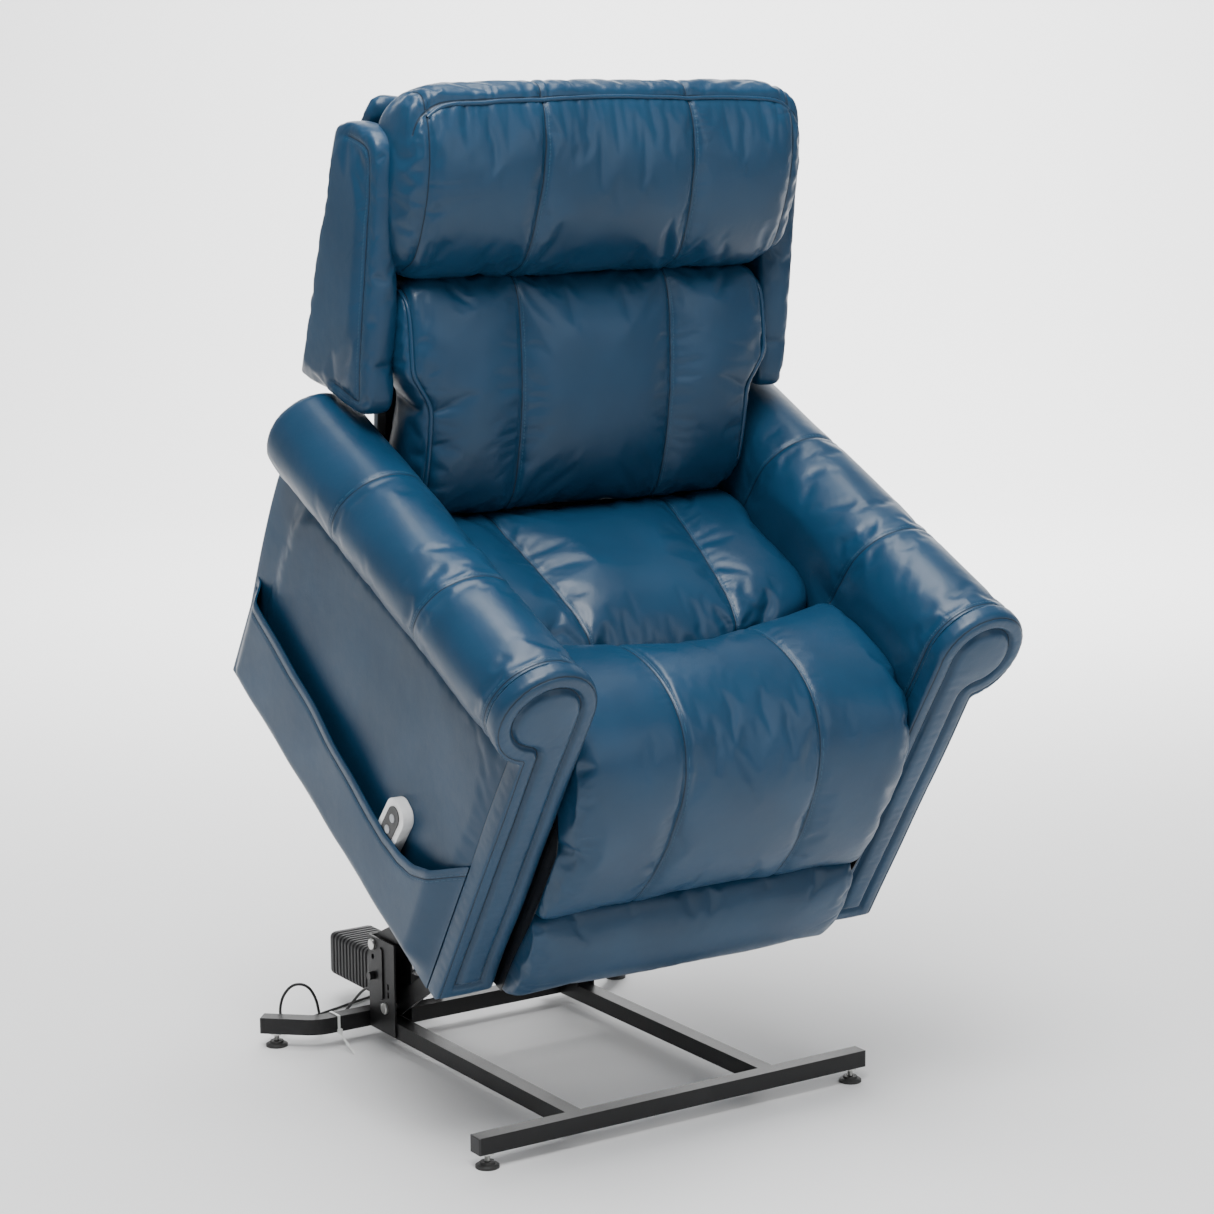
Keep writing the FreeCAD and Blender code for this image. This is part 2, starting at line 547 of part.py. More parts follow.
def pocket(side, word):
    """A fabric pocket on the outside of the arm, open at its hem: a face, a bottom and two ends."""
    skin = ARM_SIDE + POCKET_DEPTH
    depth = span(side, ARM_SIDE + 0.3, skin - POCKET_WALL)
    front, rear = POCKET_HEM[0][0], ARM_DEPTH - 3
    face = slab([(front, 0), (rear, 0)] + list(reversed(POCKET_HEM)), span(side, skin - POCKET_WALL, skin))
    bottom = block(depth, (front, rear), (0, POCKET_WALL))
    front_end = block(depth, (front, front + POCKET_WALL), (POCKET_WALL, POCKET_HEM[0][1] - 4))
    rear_end = block(depth, (rear - POCKET_WALL, rear), (POCKET_WALL, POCKET_HEM[-1][1] - 2))
    on_seat(f"{word}_pocket", face, bottom, front_end, rear_end)


# ---------------------------------------------------------------- handset
def handset():
    """A hand control standing in the right-hand pocket, with a keypad and two keys."""
    outside = -(ARM_SIDE + POCKET_DEPTH - POCKET_WALL)
    skin = outside + 1.5
    y, top = HANDSET_Y, 205.0
    shell_x = (skin + 1.6, skin + 19.6)
    outline_width, length = 50.0, 150.0

    def upright(shape):
        return turned(shape, HANDSET_TILT, y, top - 30)

    shell = block(shell_x, (y - outline_width / 2, y + outline_width / 2), (top - length, top))
    shell = soften(shell, 20.0, lambda e: e.BoundBox.XLength > 15)
    shell = soften(shell, 3.5, lambda e: abs(e.BoundBox.XMax - shell_x[1]) < 0.1 and e.BoundBox.XLength < 0.1)
    keypad = bar((y, top - 24), (y, top - 54), 15, (skin, skin + 1.6))
    for z in (top - 27, top - 50):
        recess = rod_x(y, z, 6.4, (skin - 1, skin + 5))
        keypad, shell = keypad.cut(recess), shell.cut(recess)
    on_seat("handset_shell", upright(shell))
    on_seat("handset_keypad", upright(keypad))
    for name, z in (("raise_button", top - 27), ("lower_button", top - 50)):
        on_seat(name, upright(rod_x(y, z, 6.0, (skin - 0.8, skin + 3.2))))


# ---------------------------------------------------------------- seat and footrest
def seat_padding():
    """Seat cushion and the pad in front of it, hollowed round the knee roll."""
    cushion = block((-SEAT_HALF, SEAT_HALF), (190, 462), (DECK_TOP + SOFT_GAP, SEAT_TOP))
    on_seat("seat_cushion", soften(cushion, 18, lambda e: e.BoundBox.ZMin > SEAT_TOP - 1))
    front, rear, low = KNEE[0] + 8, 188, DECK_TOP + SOFT_GAP
    outline = [(front, 345), (100, 345), (100, low), (rear, low), (rear, KNEE_TOP), (front, KNEE_TOP)]
    pad = slab(outline, (-RAIL_IN + 8, RAIL_IN - 8))
    pad = soften(pad, 18, lambda e: e.BoundBox.ZMin > KNEE_TOP - 1 and e.BoundBox.XLength > 100)
    on_seat("knee_pad", pad.cut(rod_x(*KNEE, KNEE_R + SOFT_GAP, (-RAIL_IN, RAIL_IN))))


def footrest():
    """Board, leg pad, lower pad, hinge arms, drive crank and the side gussets."""
    board_y = (45.0, 58.0)
    half = 258.0
    on_seat("footrest_board", block((-RAIL_IN + 8, RAIL_IN - 8), board_y, (15, 318)))
    shin = block((-half, half), (-32, board_y[0] - 0.5), (156, 316))
    shin = soften(shin, 12, lambda e: e.BoundBox.YMax < -31 and e.BoundBox.XLength < 1)
    roll = rod_x(*KNEE, KNEE_R, (-RAIL_IN + 8, RAIL_IN - 8))
    neck = block((-RAIL_IN + 8, RAIL_IN - 8), (-18, 32), (315, KNEE[1]))
    on_seat("leg_pad", shin.fuse([roll, neck]).removeSplitter())
    low = block((-half, half), (-32, board_y[0] - 0.5), (3, 154))
    on_seat("footrest_pad", soften(low, 12, lambda e: e.BoundBox.YMax < -31))
    arms_ = []
    for side in SIDES:
        x = (RAIL_IN - 7.5, RAIL_IN - 3.5)
        outline = [(KNEE[0] - 12, KNEE[1] - 6), (46, 318), (46, 60), (70, 60), (72, 318), (KNEE[0] + 12, KNEE[1] + 4)]
        arm = slab(outline, span(side, *x)).fuse(rod_x(*KNEE, 13, span(side, *x)))
        arms_.append(arm.cut(rod_x(*KNEE, BOLT_R + PIVOT_FIT, span(side, x[0] - 1, x[1] + 1))))
    y, z = RECLINE_EYE
    crank = slab([(board_y[1], 190), (y - 2, z - 13), (y + 12, z), (y - 2, z + 13), (board_y[1], 312)],
                 (RECLINE_X - 3, RECLINE_X + 3))
    crank = crank.fuse(rod_x(y, z, 12, (RECLINE_X - 3, RECLINE_X + 3)))
    arms_.append(crank.cut(rod_x(y, z, BOLT_R + PIVOT_FIT, (RECLINE_X - 4, RECLINE_X + 4))))
    on_seat("footrest_arms", *arms_)
    gussets = [slab([(0, 20), (70, 20), (70, 250), (46, 330), (0, 330)], span(side, half + 3, half + 4.5))
               for side in SIDES]
    on_seat("side_gussets", *gussets)


# ---------------------------------------------------------------- backrest
def raked(shape):
    """A shape drawn upright about the back hinge, leaned back by the rake."""
    return turned(shape, -BACK_RAKE, *BACK_HINGE)


def back_block(x, a, b):
    """A box in the back's own frame: a is rearward and b is up from the hinge."""
    y, z = BACK_HINGE
    return block(x, (y + a[0], y + a[1]), (z + b[0], z + b[1]))


def back_slab(points, x):
    """An outline in the back's own frame between two x planes."""
    y, z = BACK_HINGE
    return slab([(y + a, z + b) for a, b in points], x)


def backrest():
    """Timber frame, hinge arms, padded rear cover, lumbar cushion, headrest pillow and wings."""
    stile = (BACK_HALF - TUBE, BACK_HALF)
    stiles = [back_block(span(side, *stile), (-50, -26), (26, 620)) for side in SIDES]
    rails = [back_block((-stile[0], stile[0]), (-50, -26), (b, b + 60)) for b in (30, 300, 560)]
    on_seat("back_frame", *[raked(piece) for piece in stiles + rails])
    hinges = []
    y, z = BACK_HINGE
    for side in SIDES:
        x = span(side, BACK_HALF + 0.3, BACK_HALF + 4.3)
        arm = back_slab([(-12, 0), (12, 0), (-26, 110), (-50, 110)], x).fuse(rod_x(y, z, 15, x))
        hole = rod_x(y, z, BOLT_R + PIVOT_FIT, span(side, BACK_HALF - 1, BACK_HALF + 6))
        hinges.append(raked(arm.cut(hole)))
    on_seat("back_hinge_arms", *hinges)
    low = back_block((-BACK_HALF + 4, BACK_HALF - 4), (-24, 4), (16, 262))
    high = back_slab([(-24, 262), (24, 262), (6, BACK_TOP - 20), (-6, BACK_TOP), (-24, BACK_TOP)],
                     (-BACK_HALF_TOP, BACK_HALF_TOP))
    on_seat("back_cover", raked(low.fuse(high)))
    lumbar = back_slab([(-165, 92), (-52, 82), (-52, 262), (-52, 418), (-140, 418), (-160, 300)],
                       (-BACK_HALF, BACK_HALF))
    upper = back_slab([(-157, 275), (-52, 275), (-52, 418), (-140, 418)], (-BACK_HALF_TOP + 8, BACK_HALF_TOP - 8))
    on_seat("lumbar_cushion", raked(lumbar.fuse(upper)))
    pillow = back_slab([(-155, 424), (-52, 424), (-52, 622), (-108, 668), (-165, 684), (-182, 560)],
                       (-BACK_HALF_TOP, BACK_HALF_TOP))
    on_seat("headrest_pillow", raked(soften(pillow, 14, lambda e: e.BoundBox.XLength > 600
                                            and e.BoundBox.YMax < y - 100)))
    for side, word in ((-1, "right"), (1, "left")):
        wing = back_slab([(-136, 246), (44, 246), (-14, 600), (-34, 622), (-112, 622), (-136, 590)],
                         span(side, *WING_X))
        on_seat(f"{word}_wing", raked(wing))


# ---------------------------------------------------------------- power lead
LEAD_R = 2.25             # limp round cord
LEAD_ROUTE = (
    (-166.0, 610.0, 76.0), (-165.0, 630.0, 72.0), (-167.0, 650.0, 57.0), (-173.0, 668.0, 36.0),
    (-186.0, 680.0, 14.0), (-207.0, 680.0, 5.5), (-226.0, 664.0, 7.0), (-238.0, 647.0, 20.0),
    (-246.0, 637.0, 43.0), (-252.0, 634.0, 68.0), (-264.0, 638.0, 91.0), (-285.0, 646.0, 95.0),
    (-299.0, 656.0, 76.0), (-299.0, 668.0, 48.0), (-288.0, 682.0, 21.0), (-270.0, 700.0, 6.0),
    (-243.0, 716.0, 3.4), (-212.0, 735.0, 3.0), (-170.0, 748.0, 3.2), (-118.0, 766.0, 3.0),
    (-66.0, 781.0, 3.2), (-16.0, 799.0, 3.0),
)
COIL_CENTRE = (18.0, 829.0)
COIL_R = 26.0
COIL_SECTION = 6.5        # radius of the bundled turns
GLAND_LENGTH = 22.0


def lead_tube():
    """The free lead as straight runs joined by tangent arcs."""
    points = [Vector(*p) for p in LEAD_ROUTE]
    edges, here = [], points[0]
    for before, corner, after in zip(points, points[1:], points[2:]):
        into, out = corner - before, after - corner
        turn = into.getAngle(out)
        cut = 0.45 * min(into.Length, out.Length)
        radius = cut / math.tan(turn / 2)
        print(f"lead bend radius {radius:.1f}")
        start = corner - into.normalize() * cut
        end = corner + out.normalize() * cut
        inward = (out - into).normalize()
        centre_distance = math.hypot(cut, radius)
        middle = corner + inward * (centre_distance - radius)
        edges += [Part.LineSegment(here, start).toShape(), Part.Arc(start, middle, end).toShape()]
        here = end
    edges.append(Part.LineSegment(here, points[-1]).toShape())
    path = Part.Wire(edges)
    profile = Part.Wire(Part.Circle(points[0], points[1] - points[0], LEAD_R).toShape())
    solid = path.makePipeShell([profile], True, False)
    print(f"lead tube {path.Length:.0f} mm, volume ratio {solid.Volume / (math.pi * LEAD_R ** 2 * path.Length):.4f}")
    return solid


def power_lead():
    """Low-voltage lead from the rear crossbar: tube, put-away coil, connector, gland and tie."""
    on_base("power_lead", lead_tube())
    x, y = COIL_CENTRE
    on_base("power_lead_coil", Part.makeTorus(COIL_R, COIL_SECTION, Vector(x, y, COIL_SECTION)))
    start = Vector(*LEAD_ROUTE[0])
    along = (Vector(*LEAD_ROUTE[1]) - start).normalize()
    root = start - Vector(0, GLAND_LENGTH - 0.3, 0)
    gland = Part.makeCone(6.5, LEAD_R + 0.9, GLAND_LENGTH, root, Vector(0, 1, 0))
    on_base("lead_gland", gland.cut(Part.makeCylinder(LEAD_R + 0.05, 20, start - along * 6, along)))
    low = COIL_SECTION * 2 + 0.1
    plug = block((x - 12, x + 12), (y - COIL_R - 7, y - COIL_R + 7), (low, low + 11))
    plug = soften(plug, 3.0, lambda e: e.BoundBox.ZLength > 8)
    on_base("lead_connector", plug)


def cable_tie():
    """A tie round the right outrigger, with its lock and loose tail."""
    y = REAR_BAR_Y + 1.5 * TUBE
    x = -236.0
    half = TUBE / 2
    z = FLOOR_GAP + half
    outer = block((x - 2, x + 2), (y - half - 1.5, y + half + 1.5), (z - half - 1.5, z + half + 1.5))
    inner = block((x - 3, x + 3), (y - half - 0.1, y + half + 0.1), (z - half - 0.1, z + half + 0.1))
    lock = block((x - 3.5, x + 3.5), (y - half - 6, y - half - 1.5), (z - 14, z - 7))
    tail = slab([(y - half - 5, z - 14), (y - half - 3.6, z - 14), (y - half - 48, 1.5), (y - half - 50, 1.0)],
                (x - 2, x + 2))
    on_base("cable_tie", outer.cut(inner).fuse([lock, tail]))


def main():
    base_frame()
    uprights()
    pivot_bolts()
    motor_bracket()
    levelling_feet()
    lift_links()
    lift_actuator()
    seat_frame()
    drive_brackets()
    hinge_brackets()
    recline_drive()
    arms()
    handset()
    seat_padding()
    footrest()
    backrest()
    power_lead()
    cable_tie()
    os.makedirs("parts", exist_ok=True)
    for name, shape in NODES.items():
        shape.exportStep(f"parts/{name}.step")
    print(f"{len(NODES)} nodes")


main()
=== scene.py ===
"""Lift recliner chair: upholstery, steel base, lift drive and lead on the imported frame."""

import json
import logging
import math
from dataclasses import dataclass
from enum import Enum
from typing import Callable, Optional, Sequence

import bpy
import numpy as np
from mathutils import Matrix, Vector, noise
from mathutils.bvhtree import BVHTree


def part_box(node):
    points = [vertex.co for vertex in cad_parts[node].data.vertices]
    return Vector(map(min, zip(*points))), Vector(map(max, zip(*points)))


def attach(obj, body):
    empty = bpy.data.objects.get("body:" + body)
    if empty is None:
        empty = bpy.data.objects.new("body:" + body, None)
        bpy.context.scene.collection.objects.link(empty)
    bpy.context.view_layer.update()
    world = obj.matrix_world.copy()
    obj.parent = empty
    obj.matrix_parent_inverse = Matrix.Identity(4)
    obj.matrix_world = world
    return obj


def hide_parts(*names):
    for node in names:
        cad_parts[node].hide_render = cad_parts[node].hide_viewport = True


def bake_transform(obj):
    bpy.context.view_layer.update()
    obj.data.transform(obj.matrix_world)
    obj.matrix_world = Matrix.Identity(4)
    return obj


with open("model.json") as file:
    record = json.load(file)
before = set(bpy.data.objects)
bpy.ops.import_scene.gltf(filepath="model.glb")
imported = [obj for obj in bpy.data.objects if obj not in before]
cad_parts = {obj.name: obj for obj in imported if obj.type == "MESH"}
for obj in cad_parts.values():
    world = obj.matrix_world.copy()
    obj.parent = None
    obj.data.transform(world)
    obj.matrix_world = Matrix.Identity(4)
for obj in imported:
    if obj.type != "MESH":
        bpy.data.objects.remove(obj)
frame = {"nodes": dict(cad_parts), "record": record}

log = logging.getLogger("lift_recliner")

Array = np.ndarray
Rule = Callable[[Array], Array]
MM = 0.001
SEWN_REACH = 0.03
SIM_FRAMES = 20


def smooth(value: Array, low: float, high: float) -> Array:
    """A smooth step from 0 at low to 1 at high."""
    t = np.clip((value - low) / (high - low), 0.0, 1.0)
    return t * t * (3.0 - 2.0 * t)


def wander(u: Array, v: Array, seed: int) -> Array:
    """Smooth repeatable noise from -1 to 1 over two numbers.

    Args:
        u: the first number, one unit to a swing.
        v: the second number.
        seed: picks the pattern.

    Returns:
        The noise at each pair.
    """
    table = np.random.RandomState(seed).uniform(-1.0, 1.0, (64, 64))
    iu, iv = np.floor(u).astype(int), np.floor(v).astype(int)
    fu, fv = u - iu, v - iv
    fu, fv = fu * fu * (3 - 2 * fu), fv * fv * (3 - 2 * fv)
    near = table[iu % 64, iv % 64] * (1 - fu) + table[(iu + 1) % 64, iv % 64] * fu
    far = table[iu % 64, (iv + 1) % 64] * (1 - fu) + table[(iu + 1) % 64, (iv + 1) % 64] * fu
    return near * (1 - fv) + far * fv


class Axis(Enum):
    """The local axis that a section is swept along."""

    ACROSS = 0
    DEPTH = 1


# ------------------------------------------------------------------ shader nodes
class Socket:
    """A node socket that does sums with numbers and other sockets."""

    def __init__(self, recipe: "Recipe", link: bpy.types.NodeSocket) -> None:
        """Keeps the socket and the recipe it belongs to."""
        self.recipe = recipe
        self.link = link

    def _sum(self, operation: str, left: object, right: object) -> "Socket":
        """Adds one Math node."""
        return self.recipe.node("ShaderNodeMath", {"operation": operation}, {0: left, 1: right})

    def __add__(self, other: object) -> "Socket":
        """self + other"""
        return self._sum("ADD", self, other)

    __radd__ = __add__

    def __sub__(self, other: object) -> "Socket":
        """self - other"""
        return self._sum("SUBTRACT", self, other)

    def __rsub__(self, other: object) -> "Socket":
        """other - self"""
        return self._sum("SUBTRACT", other, self)

    def __mul__(self, other: object) -> "Socket":
        """self * other"""
        return self._sum("MULTIPLY", self, other)

    __rmul__ = __mul__

    def __truediv__(self, other: object) -> "Socket":
        """self / other"""
        return self._sum("DIVIDE", self, other)

    def __abs__(self) -> "Socket":
        """The size of self without its sign."""
        return self._sum("ABSOLUTE", self, 0.0)

    def wrapped(self) -> "Socket":
        """The fraction after the decimal point."""
        return self._sum("FRACT", self, 0.0)

    def step(self, low: float, high: float) -> "Socket":
        """A smooth step from 0 at low to 1 at high."""
        return self.recipe.node("ShaderNodeMapRange", {"interpolation_type": "SMOOTHSTEP"},
                                {0: self, 1: low, 2: high, 3: 0.0, 4: 1.0})


class Recipe:
    """Builds one material's nodes."""

    def __init__(self, name: str) -> None:
        """Starts a material with a shader and an output.

        Args:
            name: the material's name.
        """
        self.material = bpy.data.materials.new(name)
        self.material.use_nodes = True
        self.tree = self.material.node_tree
        self.tree.nodes.clear()
        output = self.tree.nodes.new("ShaderNodeOutputMaterial")
        self.shader = self.tree.nodes.new("ShaderNodeBsdfPrincipled")
        self.tree.links.new(self.shader.outputs[0], output.inputs[0])
        self.place = self.node("ShaderNodeTexCoord", {}, {}, "Object")

    def node(self, kind: str, settings: dict, sockets: dict, output: object = 0) -> Socket:
        """Adds a node.

        Args:
            kind: the node's type.
            settings: its own properties, set first.
            sockets: values or links by socket name or number.
            output: which output to hand back.

        Returns:
            The chosen output as a Socket.
        """
        made = self.tree.nodes.new(kind)
        for key, value in settings.items():
            setattr(made, key, value)
        for key, value in sockets.items():
            self.feed(made.inputs[key], value)
        return Socket(self, made.outputs[output])

    def feed(self, target: bpy.types.NodeSocket, value: object) -> None:
        """Links or sets one input.

        Args:
            target: the input.
            value: a Socket to link, or a value; a colour may leave out its alpha.
        """
        if isinstance(value, Socket):
            self.tree.links.new(value.link, target)
        elif isinstance(value, tuple) and len(value) == 3 and target.type == "RGBA":
            target.default_value = (*value, 1.0)
        else:
            target.default_value = value

    def shade(self, **values: object) -> None:
        """Sets the shader's own sockets; underscores stand for spaces."""
        for key, value in values.items():
            self.feed(self.shader.inputs[key.replace("_", " ")], value)

    def stretched(self, scale: tuple) -> Socket:
        """Object coordinates, scaled by axis."""
        return self.node("ShaderNodeMapping", {}, {"Vector": self.place, "Scale": scale})

    def speckle(self, scale: float, detail: float = 2.0, at: Optional[Socket] = None) -> Socket:
        """Noise from 0 to 1 on the object's own coordinates."""
        return self.node("ShaderNodeTexNoise", {},
                         {"Vector": at or self.place, "Scale": scale, "Detail": detail})

    def cells(self, scale: float) -> Socket:
        """Distance to the nearest cell's middle."""
        return self.node("ShaderNodeTexVoronoi", {}, {"Vector": self.place, "Scale": scale})

    def attribute(self, name: str) -> Socket:
        """A number stored on the mesh."""
        return self.node("ShaderNodeAttribute", {"attribute_name": name}, {}, "Fac")

    def blend(self, amount: object, first: object, second: object) -> Socket:
        """Mixes two colours.

        Args:
            amount: 0 for the first, 1 for the second.
            first: a colour or a Socket.
            second: a colour or a Socket.

        Returns:
            The mixed colour.
        """
        made = self.tree.nodes.new("ShaderNodeMix")
        made.data_type = "RGBA"
        self.feed(made.inputs[0], amount)
        self.feed(made.inputs[6], first)
        self.feed(made.inputs[7], second)
        return Socket(self, made.outputs[2])

    def relief(self, height: Socket, distance: float, strength: float = 1.0) -> None:
        """Feeds a height to the shader's normal.

        Args:
            height: the relief, from 0 to 1.
            distance: how far 1 stands out, in metres.
            strength: how much of it shows.
        """
        bump = self.node("ShaderNodeBump", {}, {"Strength": strength, "Distance": distance, "Height": height})
        self.shade(Normal=bump)


class Finish:
    """A surface finish, made once and shared by the pieces that have it."""

    name = "finish"

    def build(self, recipe: Recipe) -> None:
        """Fills in the recipe."""
        raise NotImplementedError

    def material(self) -> bpy.types.Material:
        """The finish as a material."""
        found = bpy.data.materials.get(self.name)
        if found is None:
            recipe = Recipe(self.name)
            self.build(recipe)
            found = recipe.material
        return found


@dataclass(frozen=True)
class ChairLeather(Finish):
    """Smooth bonded leather with fine grain, soft creases and sewn seams."""

    name: str = "blue_chair_leather"
    colour: tuple = (0.0044, 0.032, 0.072)
    light: tuple = (0.0060, 0.039, 0.086)
    thread: tuple = (0.014, 0.062, 0.115)
    roughness: float = 0.34
    gloss: float = 0.38
    stitch_gap: float = 0.0042
    stitch_pitch: float = 0.0056

    def build(self, recipe: Recipe) -> None:
        """Leather colour, grain, creases, stitches beside each seam, and painted shade darkening each seam's
        groove.
        """
        away = SEWN_REACH - recipe.attribute("sewn")
        gap = abs(recipe.attribute("side"))
        run = recipe.attribute("run")
        double = recipe.attribute("double")
        mottled = recipe.speckle(9.0, 3.0)
        creases = recipe.speckle(46.0, 4.0)
        grain = recipe.cells(820.0)
        pores = recipe.speckle(1500.0, 1.0)
        dash = (run / self.stitch_pitch).wrapped().step(0.16, 0.26) * (
            1.0 - (run / self.stitch_pitch).wrapped().step(0.80, 0.90))
        off = abs(gap - self.stitch_gap)
        thread = (1.0 - off.step(0.0004, 0.0009)) * dash * double * (1.0 - away.step(0.008, 0.012))
        fold = (1.0 - gap.step(0.0002, 0.0013)) * (1.0 - away.step(0.004, 0.006))
        body = recipe.blend(mottled.step(0.3, 0.7), self.colour, self.light)
        # Painted shade: inside each seam's groove the leather colour is darkened towards a fifth of itself.
        groove_shaded = recipe.blend(fold * 0.85, body, tuple(c * 0.22 for c in self.colour))
        recipe.shade(Base_Color=recipe.blend(thread * 0.8, groove_shaded, self.thread),
                     Roughness=self.roughness + creases * 0.10 + grain * 0.05 - 0.06 + fold * 0.2,
                     Specular_IOR_Level=self.gloss, IOR=1.5)
        recipe.relief(creases * 0.55 + grain * 0.10 + pores * 0.05 + thread * 0.5 - fold * 0.8, 0.0013, 0.55)


@dataclass(frozen=True)
class GussetCloth(Finish):
    """Black glossy coated cloth with fine folds."""

    name: str = "black_gusset_cloth"

    def build(self, recipe: Recipe) -> None:
        """Coated cloth with a fine weave and small creases."""
        creases = recipe.speckle(38.0, 3.0)
        weave = recipe.cells(1400.0)
        recipe.shade(Base_Color=recipe.blend(creases, (0.002, 0.002, 0.0024), (0.004, 0.004, 0.0046)),
                     Roughness=0.20 + creases * 0.10, Specular_IOR_Level=0.35)
        recipe.relief(creases * 0.5 + weave * 0.05, 0.001, 0.2)


@dataclass(frozen=True)
class ShadeGapCloth(Finish):
    """Black non-woven cloth behind the upholstery, put on the back frame as painted shade so the gaps round
    the back read as shadow.
    """

    name: str = "black_shade_gap_cloth"

    def build(self, recipe: Recipe) -> None:
        """Matt fibres."""
        fibre = recipe.speckle(900.0, 3.0)
        recipe.shade(Base_Color=recipe.blend(fibre, (0.008, 0.008, 0.009), (0.022, 0.022, 0.024)),
                     Roughness=0.9)
        recipe.relief(fibre, 0.0006, 0.6)


@dataclass(frozen=True)
class PowderCoat(Finish):
    """Black powder coat with slight orange peel."""

    name: str = "black_powder_coat"
    colour: tuple = (0.005, 0.005, 0.0055)

    def build(self, recipe: Recipe) -> None:
        """Dark coat with fine ripple and dust."""
        peel = recipe.speckle(620.0, 2.0)
        worn = recipe.speckle(14.0, 5.0)
        recipe.shade(Base_Color=recipe.blend(worn.step(0.45, 0.8), self.colour, (0.011, 0.011, 0.012)),
                     Roughness=0.34 + peel * 0.08 + worn * 0.10, Specular_IOR_Level=0.35)
        recipe.relief(peel, 0.0004, 0.5)


@dataclass(frozen=True)
class Zinc(Finish):
    """Bright zinc plate, as on bolts, nuts and stems."""

    name: str = "bright_zinc"
    colour: tuple = (0.60, 0.60, 0.58)
    roughness: float = 0.30

    def build(self, recipe: Recipe) -> None:
        """Metal with faint blotches and fine brushing."""
        blotch = recipe.speckle(120.0, 3.0)
        brushed = recipe.speckle(160.0, 2.0, recipe.stretched((1.0, 1.0, 6.0)))
        recipe.shade(Base_Color=recipe.blend(blotch, self.colour, tuple(c * 0.78 for c in self.colour)),
                     Metallic=1.0, Roughness=self.roughness + brushed * 0.12)
        recipe.relief(brushed, 0.0002, 0.12)


@dataclass(frozen=True)
class FootRubber(Finish):
    """Black pad below, zinc stem above."""

    name: str = "levelling_foot"
    stem_from: float = 0.0092
    thread_pitch: float = 0.00125

    def build(self, recipe: Recipe) -> None:
        """One finish split by height: moulded pad, then a threaded stem."""
        height = recipe.node("ShaderNodeSeparateXYZ", {}, {0: recipe.place}, "Z")
        metal = height.step(self.stem_from, self.stem_from + 0.0002)
        thread = (height / self.thread_pitch).wrapped()
        grime = recipe.speckle(240.0, 3.0)
        dark = recipe.blend(grime, (0.012, 0.012, 0.012), (0.035, 0.035, 0.034))
        recipe.shade(Base_Color=recipe.blend(metal, dark, (0.58, 0.58, 0.56)), Metallic=metal,
                     Roughness=0.62 - metal * 0.30)
        recipe.relief(abs(thread - 0.5) * metal + grime * 0.1, 0.0009, 0.8)


@dataclass(frozen=True)
class MouldedPlastic(Finish):
    """Moulded plastic with a spark-eroded texture."""

    name: str = "black_moulded_plastic"
    colour: tuple = (0.014, 0.014, 0.015)
    roughness: float = 0.46
    coat: float = 0.0

    def build(self, recipe: Recipe) -> None:
        """Fine texture and slight mottling."""
        spark = recipe.speckle(1300.0, 2.0)
        scuff = recipe.speckle(35.0, 4.0)
        lighter = tuple(min(1.0, c * 1.25 + 0.004) for c in self.colour)
        recipe.shade(Base_Color=recipe.blend(scuff.step(0.4, 0.75), self.colour, lighter),
                     Roughness=self.roughness + spark * 0.06 + scuff * 0.06, Coat_Weight=self.coat)
        recipe.relief(spark, 0.0003, 0.4)


@dataclass(frozen=True)
class SawnWood(Finish):
    """Birch plywood or plain sawn timber."""

    name: str = "birch_plywood"
    light: tuple = (0.60, 0.43, 0.25)
    dark: tuple = (0.40, 0.26, 0.13)

    def build(self, recipe: Recipe) -> None:
        """Long grain with small pores."""
        grain = recipe.speckle(30.0, 5.0, recipe.stretched((14.0, 1.2, 1.2)))
        pore = recipe.speckle(260.0, 3.0, recipe.stretched((6.0, 1.0, 1.0)))
        recipe.shade(Base_Color=recipe.blend(grain.step(0.3, 0.7), self.light, self.dark),
                     Roughness=0.62 + pore * 0.15)
        recipe.relief(grain * 0.4 + pore * 0.4, 0.0008, 0.5)


LEATHER = ChairLeather()
GUSSET = GussetCloth()
SHADE_GAP_CLOTH = ShadeGapCloth()
STEEL = PowderCoat()
ZINC = Zinc()
ROD = Zinc("ground_rod_steel", (0.70, 0.70, 0.71), 0.16)
FOOT = FootRubber()
PLASTIC = MouldedPlastic()
KNOB = MouldedPlastic("black_knob", (0.010, 0.010, 0.011), 0.30)
SHELL = MouldedPlastic("white_handset", (0.80, 0.80, 0.79), 0.22, 0.25)
KEYS = MouldedPlastic("grey_keys", (0.36, 0.37, 0.39), 0.35)
CABLE = MouldedPlastic("cable_sheath", (0.009, 0.009, 0.010), 0.38)
NYLON = MouldedPlastic("natural_nylon", (0.78, 0.79, 0.77), 0.34)
PLYWOOD = SawnWood()


# ------------------------------------------------------------------ local frames
@dataclass
class ChairFrame:
    """The tipped seat unit's own frame, found from two of its hinges, in millimetres."""

    knee: tuple = (30.0, 400.0)
    back_hinge: tuple = (600.0, 300.0)
    rake: float = 22.8

    def __post_init__(self) -> None:
        """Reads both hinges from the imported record."""
        joints = {j["name"]: j for j in frame["record"]["behaviour"]["joints"]}
        knee = Vector(joints["footrest"]["pos_m"])
        back = Vector(joints["recline"]["pos_m"])
        tip = math.atan2(back.z - knee.z, back.y - knee.y) - math.atan2(
            self.back_hinge[1] - self.knee[1], self.back_hinge[0] - self.knee[0])
        turn = Matrix.Rotation(tip, 4, "X")
        offset = knee - turn @ Vector((0.0, self.knee[0] * MM, self.knee[1] * MM))
        self.seat = Matrix.Translation(offset) @ turn
        hinge = Matrix.Translation(Vector((0.0, self.back_hinge[0] * MM, self.back_hinge[1] * MM)))
        self.back = self.seat @ hinge @ Matrix.Rotation(-math.radians(self.rake), 4, "X")


